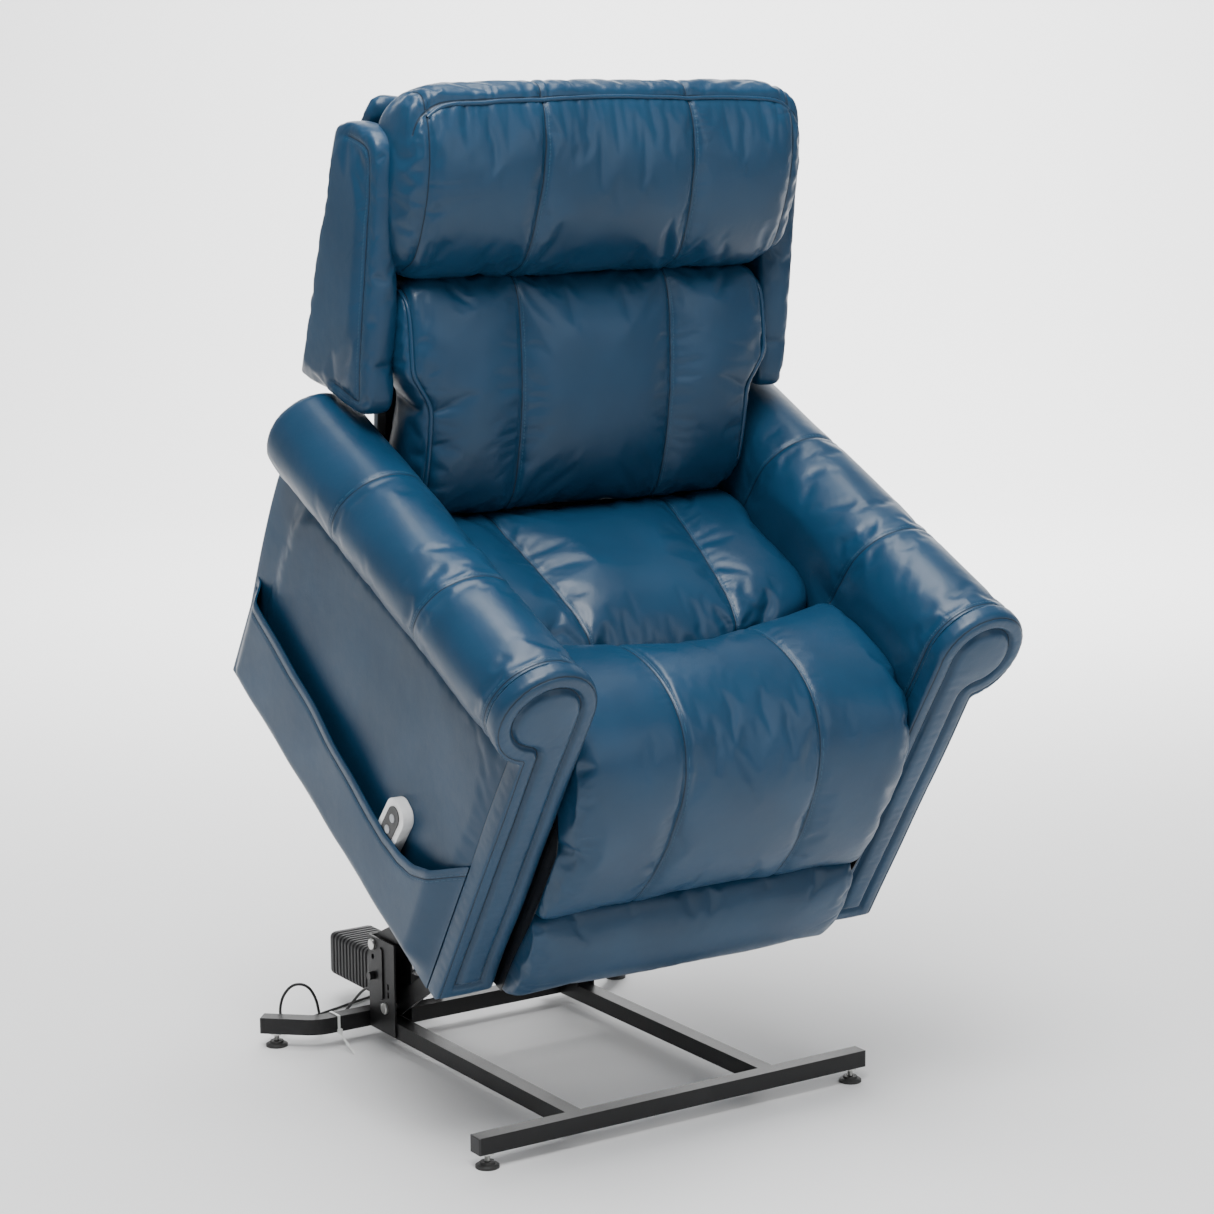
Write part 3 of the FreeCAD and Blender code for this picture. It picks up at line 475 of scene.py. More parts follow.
# ------------------------------------------------------------------ bench work
class Bench:
    """Modelling steps on one mesh at a time."""

    @staticmethod
    def only(piece: bpy.types.Object) -> None:
        """Leaves just this piece selected and active."""
        bpy.ops.object.select_all(action="DESELECT")
        piece.select_set(True)
        bpy.context.view_layer.objects.active = piece

    @staticmethod
    def take(name: str) -> bpy.types.Object:
        """Names the piece that an operator has just added."""
        piece = bpy.context.active_object
        piece.name = name
        piece.data.name = name
        return piece

    @staticmethod
    def block(name: str, low: Sequence[float], high: Sequence[float]) -> bpy.types.Object:
        """A box between two corners, its place in its mesh.

        Args:
            name: the piece's name.
            low: the corner with the smallest coordinates.
            high: the corner with the largest.

        Returns:
            The box, a start for a piece.
        """
        bpy.ops.object.select_all(action="DESELECT")
        middle = [(a + b) / 2 for a, b in zip(low, high)]
        bpy.ops.mesh.primitive_cube_add(size=1.0, location=middle, scale=[b - a for a, b in zip(low, high)])
        piece = Bench.take(name)
        bpy.ops.object.transform_apply(location=True, rotation=True, scale=True)
        return piece

    @staticmethod
    def sweep(name: str, section: Array, stations: Array, axis: Axis) -> bpy.types.Object:
        """Extrudes a closed section through stations.

        Args:
            name: the piece's name.
            section: closed outline, N by 2, in metres, in the plane across the axis.
            stations: rows of (place along the axis, scale, scale) about the section's middle.
            axis: the local axis to sweep along.

        Returns:
            A closed mesh in the local frame.
        """
        bpy.ops.object.select_all(action="DESELECT")
        bpy.ops.mesh.primitive_circle_add(vertices=len(section), radius=1.0, fill_type="NGON")
        piece = Bench.take(name)
        middle = (section.max(axis=0) + section.min(axis=0)) / 2
        first = stations[0]
        for vertex, point in zip(piece.data.vertices, section):
            p, q = middle + (point - middle) * first[1:3]
            vertex.co = (first[0], p, q) if axis is Axis.ACROSS else (p, first[0], q)
        bpy.ops.object.mode_set(mode="EDIT")
        bpy.ops.mesh.select_all(action="SELECT")
        for before, after in zip(stations, stations[1:]):
            step = after[0] - before[0]
            move = (step, 0, 0) if axis is Axis.ACROSS else (0, step, 0)
            bpy.ops.mesh.extrude_region_move(TRANSFORM_OT_translate={"value": move})
            p, q = after[1] / before[1], after[2] / before[2]
            size = (1, p, q) if axis is Axis.ACROSS else (p, 1, q)
            at = (after[0], *middle) if axis is Axis.ACROSS else (middle[0], after[0], middle[1])
            bpy.ops.transform.resize(value=size, center_override=at)
        bpy.ops.mesh.select_all(action="SELECT")
        bpy.ops.mesh.remove_doubles(threshold=1e-6)
        bpy.ops.mesh.normals_make_consistent(inside=False)
        bpy.ops.object.mode_set(mode="OBJECT")
        return piece

    @staticmethod
    def finish_with(piece: bpy.types.Object, kind: str, **settings: object) -> None:
        """Adds a modifier and applies it.

        Args:
            piece: the piece to change.
            kind: the modifier's type.
            settings: its own properties.
        """
        Bench.only(piece)
        modifier = piece.modifiers.new("step", kind)
        for key, value in settings.items():
            setattr(modifier, key, value)
        bpy.ops.object.modifier_apply(modifier=modifier.name)

    @staticmethod
    def cut(places: Array, axis: int) -> None:
        """Cuts the active piece across an axis at each place, ready to be shaped.

        Args:
            places: where each cut lies along the axis, in metres.
            axis: 0, 1 or 2 for x, y or z.
        """
        normal = tuple(float(axis == i) for i in range(3))
        bpy.ops.object.mode_set(mode="EDIT")
        for place in places:
            bpy.ops.mesh.select_all(action="SELECT")
            bpy.ops.mesh.bisect(plane_co=tuple(n * place for n in normal), plane_no=normal)
        bpy.ops.object.mode_set(mode="OBJECT")

    @staticmethod
    def face_out(piece: bpy.types.Object) -> None:
        """Points every face of a closed piece outwards."""
        Bench.only(piece)
        bpy.ops.object.mode_set(mode="EDIT")
        bpy.ops.mesh.select_all(action="SELECT")
        bpy.ops.mesh.normals_make_consistent(inside=False)
        bpy.ops.object.mode_set(mode="OBJECT")

    @staticmethod
    def mark_seams(piece: bpy.types.Object, gap: Array, run: Array, rows: Array, side: Array) -> None:
        """Stores what the leather finish reads: where the seams and their stitches are.

        Args:
            piece: the piece.
            gap: each point's distance to the nearest seam, in metres.
            run: its place along that seam.
            rows: how many rows of stitches the seam has there, 0 or 1.
            side: the distance again, negative on the seam's other side.
        """
        values = {"sewn": np.clip(SEWN_REACH - gap, 0, SEWN_REACH), "run": run, "double": rows,
                  "side": np.clip(side, -SEWN_REACH, SEWN_REACH)}
        for name, numbers in values.items():
            layer = piece.data.attributes.new(name, "FLOAT", "POINT")
            layer.data.foreach_set("value", numbers.astype(np.float32))

    @staticmethod
    def points(piece: bpy.types.Object) -> Array:
        """The mesh's points, N by 3."""
        flat = np.empty(len(piece.data.vertices) * 3)
        piece.data.vertices.foreach_get("co", flat)
        return flat.reshape(-1, 3)

    @staticmethod
    def normals(piece: bpy.types.Object) -> Array:
        """The mesh's point normals, N by 3."""
        flat = np.empty(len(piece.data.vertices) * 3)
        piece.data.vertex_normals.foreach_get("vector", flat)
        return flat.reshape(-1, 3)

    @staticmethod
    def lay(piece: bpy.types.Object, points: Array) -> None:
        """Puts the mesh's points where told."""
        piece.data.vertices.foreach_set("co", np.ascontiguousarray(points, dtype=np.float64).ravel())
        piece.data.update()

    @staticmethod
    def place(piece: bpy.types.Object, matrix: Matrix) -> None:
        """Moves the mesh from a local frame to the row frame."""
        piece.data.transform(matrix)
        piece.data.update()

    @staticmethod
    def join(piece: bpy.types.Object, *others: bpy.types.Object) -> None:
        """Joins others into the piece."""
        Bench.only(piece)
        for other in others:
            other.select_set(True)
        bpy.ops.object.join()

    @staticmethod
    def soft_shade(piece: bpy.types.Object, angle: float = 40.0) -> None:
        """Smooth shading, broken at sharper edges."""
        Bench.only(piece)
        bpy.ops.object.shade_smooth_by_angle(angle=math.radians(angle))

    @staticmethod
    def dress(piece: bpy.types.Object, finish: Finish) -> None:
        """Gives the piece one finish."""
        piece.data.materials.clear()
        piece.data.materials.append(finish.material())

    @staticmethod
    def mirrored(piece: bpy.types.Object, name: str) -> bpy.types.Object:
        """A copy on the other side of the chair, with its own mesh.

        Args:
            piece: the left piece.
            name: the copy's name.

        Returns:
            The right piece.
        """
        Bench.only(piece)
        bpy.ops.object.duplicate()
        copy = Bench.take(name)
        Bench.lay(copy, Bench.points(copy) * np.array([-1.0, 1.0, 1.0]))
        bpy.ops.object.mode_set(mode="EDIT")
        bpy.ops.mesh.select_all(action="SELECT")
        bpy.ops.mesh.flip_normals()
        bpy.ops.object.mode_set(mode="OBJECT")
        return copy

    @staticmethod
    def tube(name: str, points: Array, radius: float) -> bpy.types.Object:
        """A round welt along points, as a closed mesh.

        Args:
            name: the welt's name.
            points: its middle line, N by 3.
            radius: its radius in metres.

        Returns:
            The welt.
        """
        curve = bpy.data.curves.new(name, "CURVE")
        curve.dimensions = "3D"
        curve.bevel_depth = radius
        curve.bevel_resolution = 3
        curve.use_fill_caps = True
        spline = curve.splines.new("POLY")
        spline.points.add(len(points) - 1)
        for target, point in zip(spline.points, points):
            target.co = (*point, 1.0)
        made = bpy.data.objects.new(name, curve)
        bpy.context.scene.collection.objects.link(made)
        Bench.only(made)
        bpy.ops.object.convert(target="MESH")
        return bpy.context.active_object


def closed_curve(points: Sequence[tuple], steps: int = 5) -> Array:
    """A smooth closed outline through points.

    Args:
        points: corners in millimetres.
        steps: points between two corners.

    Returns:
        The outline in metres, N by 2.
    """
    ring = np.array(points, dtype=float) * MM
    out = []
    for i in range(len(ring)):
        p0, p1, p2, p3 = (ring[(i + k) % len(ring)] for k in (-1, 0, 1, 2))
        for t in np.linspace(0, 1, steps, endpoint=False):
            out.append(0.5 * (2 * p1 + (p2 - p0) * t + (2 * p0 - 5 * p1 + 4 * p2 - p3) * t ** 2
                              + (3 * p1 - p0 - 3 * p2 + p3) * t ** 3))
    return np.array(out)


def pillow_stations(half: float, edge: float, small: float = 0.62, crown: float = 0.0) -> Array:
    """Stations across the chair for a pad with rounded ends.

    Args:
        half: half width in millimetres.
        edge: how far in the rounding reaches.
        small: the scale of the last section.
        crown: how much the middle swells.

    Returns:
        Rows of (place, scale, scale), in metres.
    """
    rows = []
    for t in np.linspace(-1, 1, 25):
        x = half * math.sin(t * math.pi / 2)
        inward = max(0.0, 1.0 - (half - abs(x)) / edge)
        scale = small + (1 - small) * math.sqrt(max(0.0, 1.0 - inward ** 2)) + crown * (1 - (x / half) ** 2)
        rows.append((x * MM, scale, scale))
    return np.array(rows)


def outline_distance(points: Array, outline: Array) -> Array:
    """Signed distance to a closed outline, negative inside.

    Args:
        points: places in the outline's plane, N by 2, in metres.
        outline: the closed outline, in metres.

    Returns:
        The distance of each point, in metres.
    """
    best = np.full(len(points), np.inf)
    inside = np.zeros(len(points), dtype=bool)
    for p, q in zip(outline, np.roll(outline, -1, axis=0)):
        edge = q - p
        rel = points - p
        t = np.clip(rel @ edge / max(edge @ edge, 1e-12), 0, 1)
        best = np.minimum(best, np.hypot(*(rel - t[:, None] * edge).T))
        cross = (p[1] > points[:, 1]) != (q[1] > points[:, 1])
        with np.errstate(divide="ignore", invalid="ignore"):
            at = (q[0] - p[0]) * (points[:, 1] - p[1]) / (q[1] - p[1]) + p[0]
        inside ^= cross & (points[:, 0] < at)
    return np.where(inside, -best, best)


# ------------------------------------------------------------------ upholstery
@dataclass
class Seam:
    """A sewn line on a pad: how far a point is from it, and how far along it, in metres.

    A seam that isn't lined only gathers the leather. It shows no crease or stitches.
    """

    gap: Rule
    run: Rule
    where: Rule = lambda p: np.ones(len(p))
    depth: float = 0.0026
    width: float = 0.0050
    gathers: float = 0.0012
    reach: float = 0.026
    pitch: float = 0.014
    stitched: float = 0.0
    one_row: float = 0.0
    lined: bool = True


@dataclass
class Pad:
    """A stuffed leather piece: swept, swollen, then sewn."""

    name: str
    body: str
    stands_for: tuple
    local: Matrix
    section: Array
    stations: Array
    seams: Sequence[Seam] = ()
    axis: Axis = Axis.ACROSS
    form: Optional[Rule] = None
    voxel: float = 0.0055
    swell: float = 0.024
    pressure: float = 4.0
    slack: float = -0.025
    fill: float = 0.8
    held: Optional[Rule] = None
    relief: Optional[Rule] = None
    welts: Sequence[Callable[[BVHTree], Array]] = ()
    seed: float = 1.0
    widest: float = 0.450
    welt_radius: float = 0.0032

    def build(self) -> bpy.types.Object:
        """Makes the pad in its local frame.

        Returns:
            The finished piece, dressed and in the row frame.
        """
        piece = Bench.sweep(self.name, self.section, self.stations, self.axis)
        Bench.only(piece)
        piece.data.remesh_voxel_size = self.voxel
        bpy.ops.object.voxel_remesh()
        if self.form:
            Bench.lay(piece, self.form(Bench.points(piece)))
        Bench.finish_with(piece, "SMOOTH", factor=0.5, iterations=3)
        self.pad_out(piece)
        Bench.finish_with(piece, "SUBSURF", levels=1, render_levels=1)
        self.sew(piece)
        self.pipe(piece)
        Bench.dress(piece, LEATHER)
        Bench.only(piece)
        bpy.ops.object.shade_smooth()
        Bench.place(piece, self.local)
        return piece

    def pad_out(self, piece: bpy.types.Object) -> None:
        """Swells the cover with cloth, held at its seams, no further than the swell.

        Args:
            piece: the remeshed pad.
        """
        start = Bench.points(piece)
        sewn = self.nearest(start)[0] < 0.004
        if self.held:
            sewn |= self.held(start)
        group = piece.vertex_groups.new(name="sewn")
        group.add([int(i) for i in np.nonzero(sewn)[0]], 1.0, "REPLACE")
        modifier = piece.modifiers.new("padding", "CLOTH")
        cloth = modifier.settings
        cloth.quality = 4
        cloth.mass = 0.25
        cloth.tension_stiffness = cloth.compression_stiffness = 12.0
        cloth.bending_stiffness = 0.8
        cloth.air_damping = 2.0
        cloth.vertex_group_mass = "sewn"
        cloth.shrink_min = self.slack
        cloth.use_pressure = True
        cloth.uniform_pressure_force = self.pressure
        cloth.effector_weights.gravity = 0.0
        modifier.collision_settings.use_collision = False
        modifier.collision_settings.use_self_collision = False
        modifier.point_cache.frame_start = 1
        modifier.point_cache.frame_end = SIM_FRAMES
        scene = bpy.context.scene
        for number in range(1, SIM_FRAMES + 1):
            scene.frame_set(number)
        shaped = piece.evaluated_get(bpy.context.evaluated_depsgraph_get())
        flat = np.empty(len(piece.data.vertices) * 3)
        shaped.data.vertices.foreach_get("co", flat)
        moved = flat.reshape(-1, 3) - start
        scene.frame_set(1)
        piece.modifiers.remove(modifier)
        piece.vertex_groups.remove(group)
        size = np.linalg.norm(moved, axis=1, keepdims=True)
        limit = np.minimum(1.0, self.swell / np.maximum(size, 1e-9))
        swollen = start + moved * limit
        swollen[:, 0] = np.clip(swollen[:, 0], -self.widest, self.widest)
        Bench.lay(piece, swollen)
        Bench.finish_with(piece, "SMOOTH", factor=0.5, iterations=1)

    def nearest(self, points: Array) -> tuple:
        """Finds the nearest lined seam to each point.

        Args:
            points: places on the pad, N by 3.

        Returns:
            The distance to it, the place along it, its rows of stitches, and the signed distance.
        """
        best = np.full(len(points), 2 * SEWN_REACH)
        side = np.full(len(points), SEWN_REACH)
        run = np.zeros(len(points))
        double = np.zeros(len(points))
        for seam in (s for s in self.seams if s.lined):
            signed = seam.gap(points)
            gap = np.abs(signed) + 2 * SEWN_REACH * (1.0 - seam.where(points))
            closer = gap < best
            best = np.where(closer, gap, best)
            side = np.where(closer, signed, side)
            run = np.where(closer, seam.run(points), run)
            rows = seam.stitched + seam.one_row * (signed > 0)
            double = np.where(closer, rows, double)
        return best, run, double, side

    def sew(self, piece: bpy.types.Object) -> None:
        """Presses in each seam with its gathers and stores where the stitches go.

        Args:
            piece: the padded piece, in its local frame.
        """
        points = Bench.points(piece)
        normals = Bench.normals(piece)
        best, run, double, side = self.nearest(points)
        push = np.zeros(len(points))
        for number, seam in enumerate(self.seams):
            gap = seam.gap(points)
            along = seam.run(points)
            here = seam.where(points)
            size = np.abs(gap)
            push -= seam.depth * np.exp(-(size / seam.width) ** 2) * here
            seed = int(self.seed * 100) + number * 7
            shift = np.where(gap > 0, 11.3, 0.0)
            slant = gap * 0.5 * wander(along / 0.06, shift, seed + 3)
            fold = wander((along + slant) / seam.pitch + shift, gap / (seam.reach * 2.2), seed)
            crease = 0.25 - np.exp(-(fold / 0.22) ** 2)
            strength = smooth(wander(along / 0.075 + shift, np.full(len(points), 0.4), seed + 1), -0.25, 0.6)
            bare = 1.0 - 0.6 * np.exp(-(size / (seam.width * 0.5)) ** 2)
            near = np.exp(-(size / seam.reach) ** 1.3) * bare
            push += seam.gathers * crease * strength * near * here
        rough = np.array([noise.noise(Vector(p) * 7.0 + Vector((self.seed, 0, 0))) for p in points])
        push += 0.0024 * rough
        if self.relief:
            push += self.relief(points)
        Bench.lay(piece, points + normals * push[:, None])
        Bench.mark_seams(piece, best, run, double, side)

    def pipe(self, piece: bpy.types.Object) -> None:
        """Lays round welts where the pad has them and joins them to it.

        Args:
            piece: the sewn piece.
        """
        if not self.welts:
            return
        tree = BVHTree.FromPolygons([v.co.copy() for v in piece.data.vertices],
                                    [tuple(p.vertices) for p in piece.data.polygons])
        Bench.join(piece, *(Bench.tube(f"{self.name}_welt_{number}", route(tree), self.welt_radius)
                            for number, route in enumerate(self.welts)))


def dropped(tree: BVHTree, points: Array, toward: Vector, lift: float = 0.0012) -> Array:
    """Points moved onto a surface along one direction.

    Args:
        tree: the surface.
        points: where each ray starts.
        toward: the ray's direction.
        lift: how far the result stands off the surface.

    Returns:
        The points on the surface.
    """
    out = []
    for point in points:
        place = tree.ray_cast(Vector(point), toward)[0]
        if place is not None:
            out.append(np.array(place - toward * lift))
    ring = np.array(out)
    for _ in range(4):
        ring[1:-1] = (ring[:-2] + 2 * ring[1:-1] + ring[2:]) / 4
    return ring


def mount(piece: bpy.types.Object, body: str, slot: str, *nodes: str) -> None:
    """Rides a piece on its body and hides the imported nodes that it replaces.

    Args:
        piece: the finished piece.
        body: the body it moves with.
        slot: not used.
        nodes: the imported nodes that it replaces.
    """
    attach(piece, body)
    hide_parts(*nodes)


def settle(piece: bpy.types.Object, pad: Pad) -> None:
    """Mounts a pad and logs how many points it has.

    Args:
        piece: the finished piece.
        pad: the sizes it was made from.
    """
    mount(piece, pad.body, "blue_leather", *pad.stands_for)
    log.info("pad %s: %d points", pad.name, len(piece.data.vertices))


def both_sides(gap: Callable[[Array, float], Array], run: Rule, where: Rule,
               **cut: object) -> Sequence[Seam]:
    """The same seam on each side of the middle.

    Args:
        gap: signed distance to the seam, from the points and the side, -1 or 1.
        run: the place along it.
        where: where it shows.
        cut: the seam's other sizes.

    Returns:
        Two seams.
    """
    return [Seam(lambda p, s=side: gap(p, s), run, where, **cut) for side in (-1.0, 1.0)]


def panel_seam(offset: float, drift: float, low: float, high: float, where: Rule) -> Sequence[Seam]:
    """A pair of front-to-back seams either side of the middle.

    Args:
        offset: distance from the middle at the low end, in millimetres.
        drift: how much nearer the middle it is at the high end.
        low: height of the low end.
        high: height of the high end.
        where: where the seams show.

    Returns:
        Two seams.
    """
    def gap(p: Array, side: float) -> Array:
        """Distance to the seam on one side."""
        t = np.clip((p[:, 2] / MM - low) / (high - low), -0.3, 1.3)
        return p[:, 0] - side * (offset - drift * t) * MM

    return both_sides(gap, lambda p: p[:, 2] + p[:, 1], where, gathers=0.0007, one_row=1.0)


@dataclass
class Backrest:
    """Headrest pillow, lumbar cushion, rear cover and wings."""

    frames: ChairFrame

    def headrest(self) -> Pad:
        """Three-panel pillow with a piped boxing strip on top."""
        section = closed_curve([(-136, 426), (-162, 448), (-180, 500), (-189, 560), (-184, 622), (-164, 668),
                                (-142, 684), (-112, 676), (-74, 652), (-56, 600), (-54, 520), (-54, 446),
                                (-72, 422), (-110, 416)])
        stations = pillow_stations(325, 60, 0.74, 0.045)

        def top_welt(tree: BVHTree) -> Array:
            """Welt along the front of the boxing strip."""
            xs = np.linspace(-0.300, 0.300, 90)
            return dropped(tree, np.array([(x, -0.166, 0.9) for x in xs]), Vector((0, 0, -1)))

        front = lambda p: smooth(-p[:, 1], 0.075, 0.100)
        top = lambda p: smooth(p[:, 2], 0.600, 0.625) * smooth(-p[:, 1], 0.080, 0.100)
        ends = lambda p: smooth(-p[:, 1], 0.09, 0.13)
        seams = list(panel_seam(131, 11, 424, 687, front))
        seams.append(Seam(lambda p: p[:, 1] + 0.166, lambda p: p[:, 0], top,
                          depth=0.003, gathers=0.0018, reach=0.030))
        seams += both_sides(lambda p, s: p[:, 0] * s - 0.303, lambda p: p[:, 2], ends,
                            depth=0.003, gathers=0.0018, reach=0.040, pitch=0.022)
        return Pad("headrest_pillow_pad", "backrest", ("headrest_pillow",), self.frames.back, section,
                   stations, seams, swell=0.022, fill=0.85, welts=(top_welt,), seed=1.0)

    def lumbar(self) -> Pad:
        """Three-panel back cushion, wider above the arms, with piped sides."""
        section = closed_curve([(-146, 82), (-168, 112), (-176, 180), (-174, 260), (-160, 340), (-146, 388),
                                (-128, 412), (-96, 418), (-60, 412), (-54, 360), (-54, 240), (-54, 130),
                                (-70, 92), (-110, 78)])
        stations = pillow_stations(276, 46, 0.80, 0.02)

        def widen(p: Array) -> Array:
            """Wider where the back stands above the arms."""
            out = p.copy()
            out[:, 0] *= 1.0 + 0.115 * smooth(p[:, 2], 0.235, 0.300)
            return out

        def side_welt(side: float) -> Callable[[BVHTree], Array]:
            """Welt down one front edge."""
            def route(tree: BVHTree) -> Array:
                heights = np.linspace(0.130, 0.398, 60)
                edge = side * (0.268 + 0.030 * smooth(heights, 0.235, 0.300))
                rows = np.column_stack([edge, np.full(len(heights), -0.4), heights])
                return dropped(tree, rows, Vector((0, 1, 0)))
            return route

        front = lambda p: smooth(-p[:, 1], 0.075, 0.100)
        seams = list(panel_seam(125, -2, 74, 401, front))
        seams += both_sides(lambda p, s: p[:, 0] * s - 0.268 - 0.030 * smooth(p[:, 2], 0.235, 0.300),
                            lambda p: p[:, 2], front, depth=0.003, gathers=0.0028, reach=0.045, pitch=0.028)
        return Pad("lumbar_pad", "backrest", ("lumbar_cushion",), self.frames.back, section, stations, seams,
                   form=widen, swell=0.024, fill=0.85, welts=(side_welt(-1.0), side_welt(1.0)), seed=2.0)

    def wing(self) -> Pad:
        """Padded wing beside the headrest, with a double-stitched front edge."""
        outline = closed_curve([(-134, 231), (-141, 300), (-140, 420), (-138, 540), (-132, 592), (-112, 614),
                                (-70, 622), (-32, 620), (-10, 600), (10, 500), (30, 390), (48, 262),
                                (38, 244), (-50, 238)])
        stations = np.array([(315.5, .955, .975), (318.5, .985, .992), (324, 1, 1), (338, 1.004, 1.002),
                             (350, 1, 1), (356, .985, .992), (359.5, .955, .975)])
        stations[:, 0] *= MM
        front = lambda p: smooth(p[:, 0], 0.340, 0.350) * smooth(-p[:, 1], 0.02, 0.06)
        seams = [Seam(lambda p: outline_distance(p[:, 1:3], outline) + 0.020, lambda p: p[:, 2] + p[:, 1],
                      front, depth=0.0022, gathers=0.0010, reach=0.02, stitched=1.0)]
        return Pad("left_wing_pad", "backrest", ("left_wing",), self.frames.back, outline, stations, seams,
                   voxel=0.0045, swell=0.008, slack=-0.008, fill=0.75, seed=3.0)

    def rear(self) -> Pad:
        """Rear cover: one padded panel with two seams across it, the lower one stitched."""
        outline = closed_curve([(-22, 20), (-22, 200), (-22, 400), (-22, 600), (-20, 648), (-8, 656),
                                (4, 644), (14, 560), (24, 430), (27, 330), (26, 270), (14, 240),
                                (6, 180), (4, 100), (4, 30), (-8, 18)])
        stations = pillow_stations(272, 20, 0.86, 0.0)

        def widen(p: Array) -> Array:
            """Wider above the arms."""
            out = p.copy()
            out[:, 0] *= 1.0 + 0.148 * smooth(p[:, 2], 0.225, 0.275)
            return out

        behind = lambda p: smooth(p[:, 1], -0.012, 0.0)
        seams = [Seam(lambda p: p[:, 2] - 0.262, lambda p: p[:, 0], behind, depth=0.004, stitched=1.0),
                 Seam(lambda p: p[:, 2] - 0.600, lambda p: p[:, 0], behind, depth=0.003, gathers=0.0020)]
        return Pad("back_cover_pad", "backrest", ("back_cover",), self.frames.back, outline, stations, seams,
                   form=widen, voxel=0.006, swell=0.010, slack=-0.012, fill=0.4, seed=4.0)

    def build(self) -> None:
        """Builds every soft piece of the back."""
        for pad in (self.headrest(), self.lumbar(), self.rear()):
            settle(pad.build(), pad)
        pad = self.wing()
        left = pad.build()
        right = Bench.mirrored(left, "right_wing_pad")
        settle(left, pad)
        pad.name, pad.stands_for = "right_wing_pad", ("right_wing",)
        settle(right, pad)


@dataclass
class Arms:
    """Rolled arms with scroll fronts and side pockets."""

    frames: ChairFrame
    inner: float = 283.0
    side: float = 372.0
    roll_x: float = 356.0
    roll_r: float = 73.5
    roll_z: float = 517.0
    drop: float = 60.0
    length: float = 656.0
    hem_depth: float = 17.0

    def outline(self, grow: float) -> Array:
        """The arm's cross-section, x and z, in metres: a wall with a roll on top.

        Args:
            grow: how much larger than the arm, in millimetres.

        Returns:
            The closed outline.
        """
        radius = self.roll_r + grow
        inner = self.inner - grow
        side = self.side + grow
        points = [(inner, 2.0), (inner, 120.0), (inner, 260.0), (inner, 400.0),
                  (inner, self.roll_z - 24)]
        last = -math.degrees(math.acos((side - self.roll_x) / radius))
        for angle in np.linspace(176, last, 26):
            turn = math.radians(angle)
            points.append((self.roll_x + radius * math.cos(turn), self.roll_z + radius * math.sin(turn)))
        points += [(side, 400.0), (side, 260.0), (side, 120.0), (side, 2.0), ((inner + side) / 2, 0.0)]
        return np.array(points) * MM

    def fall(self, p: Array) -> Array:
        """Lets the roll fall towards the back, and leans the rear edge."""
        out = p.copy()
        share = smooth(p[:, 2], 0.20, 0.46)
        out[:, 2] -= self.drop * MM * p[:, 1] / (self.length * MM) * share
        rear = smooth(p[:, 1], 0.45, 0.66)
        out[:, 1] += rear * (0.028 * smooth(p[:, 2], 0.0, 0.36) - 0.034 * smooth(p[:, 2], 0.40, 0.50))
        return out

    def shell(self) -> Pad:
        """Side, roll and inner wall in one cover, with two seams across the roll."""
        rows = np.array([(13, .985, .995), (20, 1, 1), (60, 1, 1), (200, 1, 1), (350, 1, 1), (500, 1, 1),
                         (640, 1, 1), (672, .99, .998), (684, .955, .985)])
        rows[:, 0] *= MM
        top = lambda p: smooth(p[:, 2] + p[:, 1] * 0.09, 0.430, 0.452)
        seams = [Seam(lambda p, y=y: p[:, 1] - y + 0.09 * (p[:, 2] - 0.5), lambda p: p[:, 0] + p[:, 2], top,
                      depth=0.0020, width=0.004, gathers=0.0006, one_row=1.0) for y in (0.217, 0.460)]
        seams.append(Seam(lambda p: p[:, 1] - 0.019, lambda p: p[:, 0] + p[:, 2],
                          lambda p: smooth(p[:, 2], 0.40, 0.43), depth=0.0012, width=0.004, gathers=0.0004,
                          stitched=1.0))
        outside = lambda p: smooth(p[:, 0], 0.366, 0.370) * (1 - smooth(p[:, 0], 0.384, 0.392))
        seams.append(Seam(lambda p: (p[:, 2] + p[:, 1] * 0.0915) - 0.4440, lambda p: p[:, 1], outside,
                          depth=0.004, gathers=0.0012, reach=0.03, pitch=0.035))
        held = lambda p: (p[:, 2] < 0.06) | (p[:, 1] < 0.018) | ((p[:, 2] < 0.40) & (p[:, 1] > 0.64))
        return Pad("left_arm_cover", "seat_unit", ("left_arm_pad",), self.frames.seat, self.outline(0.0),
                   rows, seams, axis=Axis.DEPTH, form=self.fall, voxel=0.0062, swell=0.007, slack=-0.010,
                   fill=0.7, held=held, seed=5.0)

    def front(self) -> Pad:
        """Scroll facing: a padded border round a raised inner panel."""
        ring = self.outline(1.5)
        rows = np.array([(11.5, 1, 1), (4, 1, 1), (-6, .998, .999), (-12, .985, .993), (-16, .95, .978)])
        rows[:, 0] *= MM

        def inside(p: Array) -> Array:
            """How far inside the scroll's outline, negative inwards."""
            return outline_distance(p[:, [0, 2]], ring)

        face = lambda p: smooth(-p[:, 1], 0.004, 0.010)
        panel = lambda p: inside(p) + 0.0255
        run = lambda p: p[:, 2] + p[:, 0]
        seams = [Seam(panel, run, face, depth=0.0062, width=0.0034, gathers=0.0004, reach=0.014),
                 Seam(lambda p: inside(p) + 0.0045, run, face, depth=0.0010, width=0.0030,
                      gathers=0.0003, reach=0.01)]
        relief = lambda p: 0.0020 * smooth(-panel(p), 0.002, 0.012) * face(p)
        return Pad("left_arm_facing", "seat_unit", ("left_arm_front",), self.frames.seat, ring, rows, seams,
                   axis=Axis.DEPTH, voxel=0.0042, swell=0.006, slack=-0.004, fill=0.75, relief=relief,
                   seed=6.0, held=lambda p: p[:, 1] > 0.006)

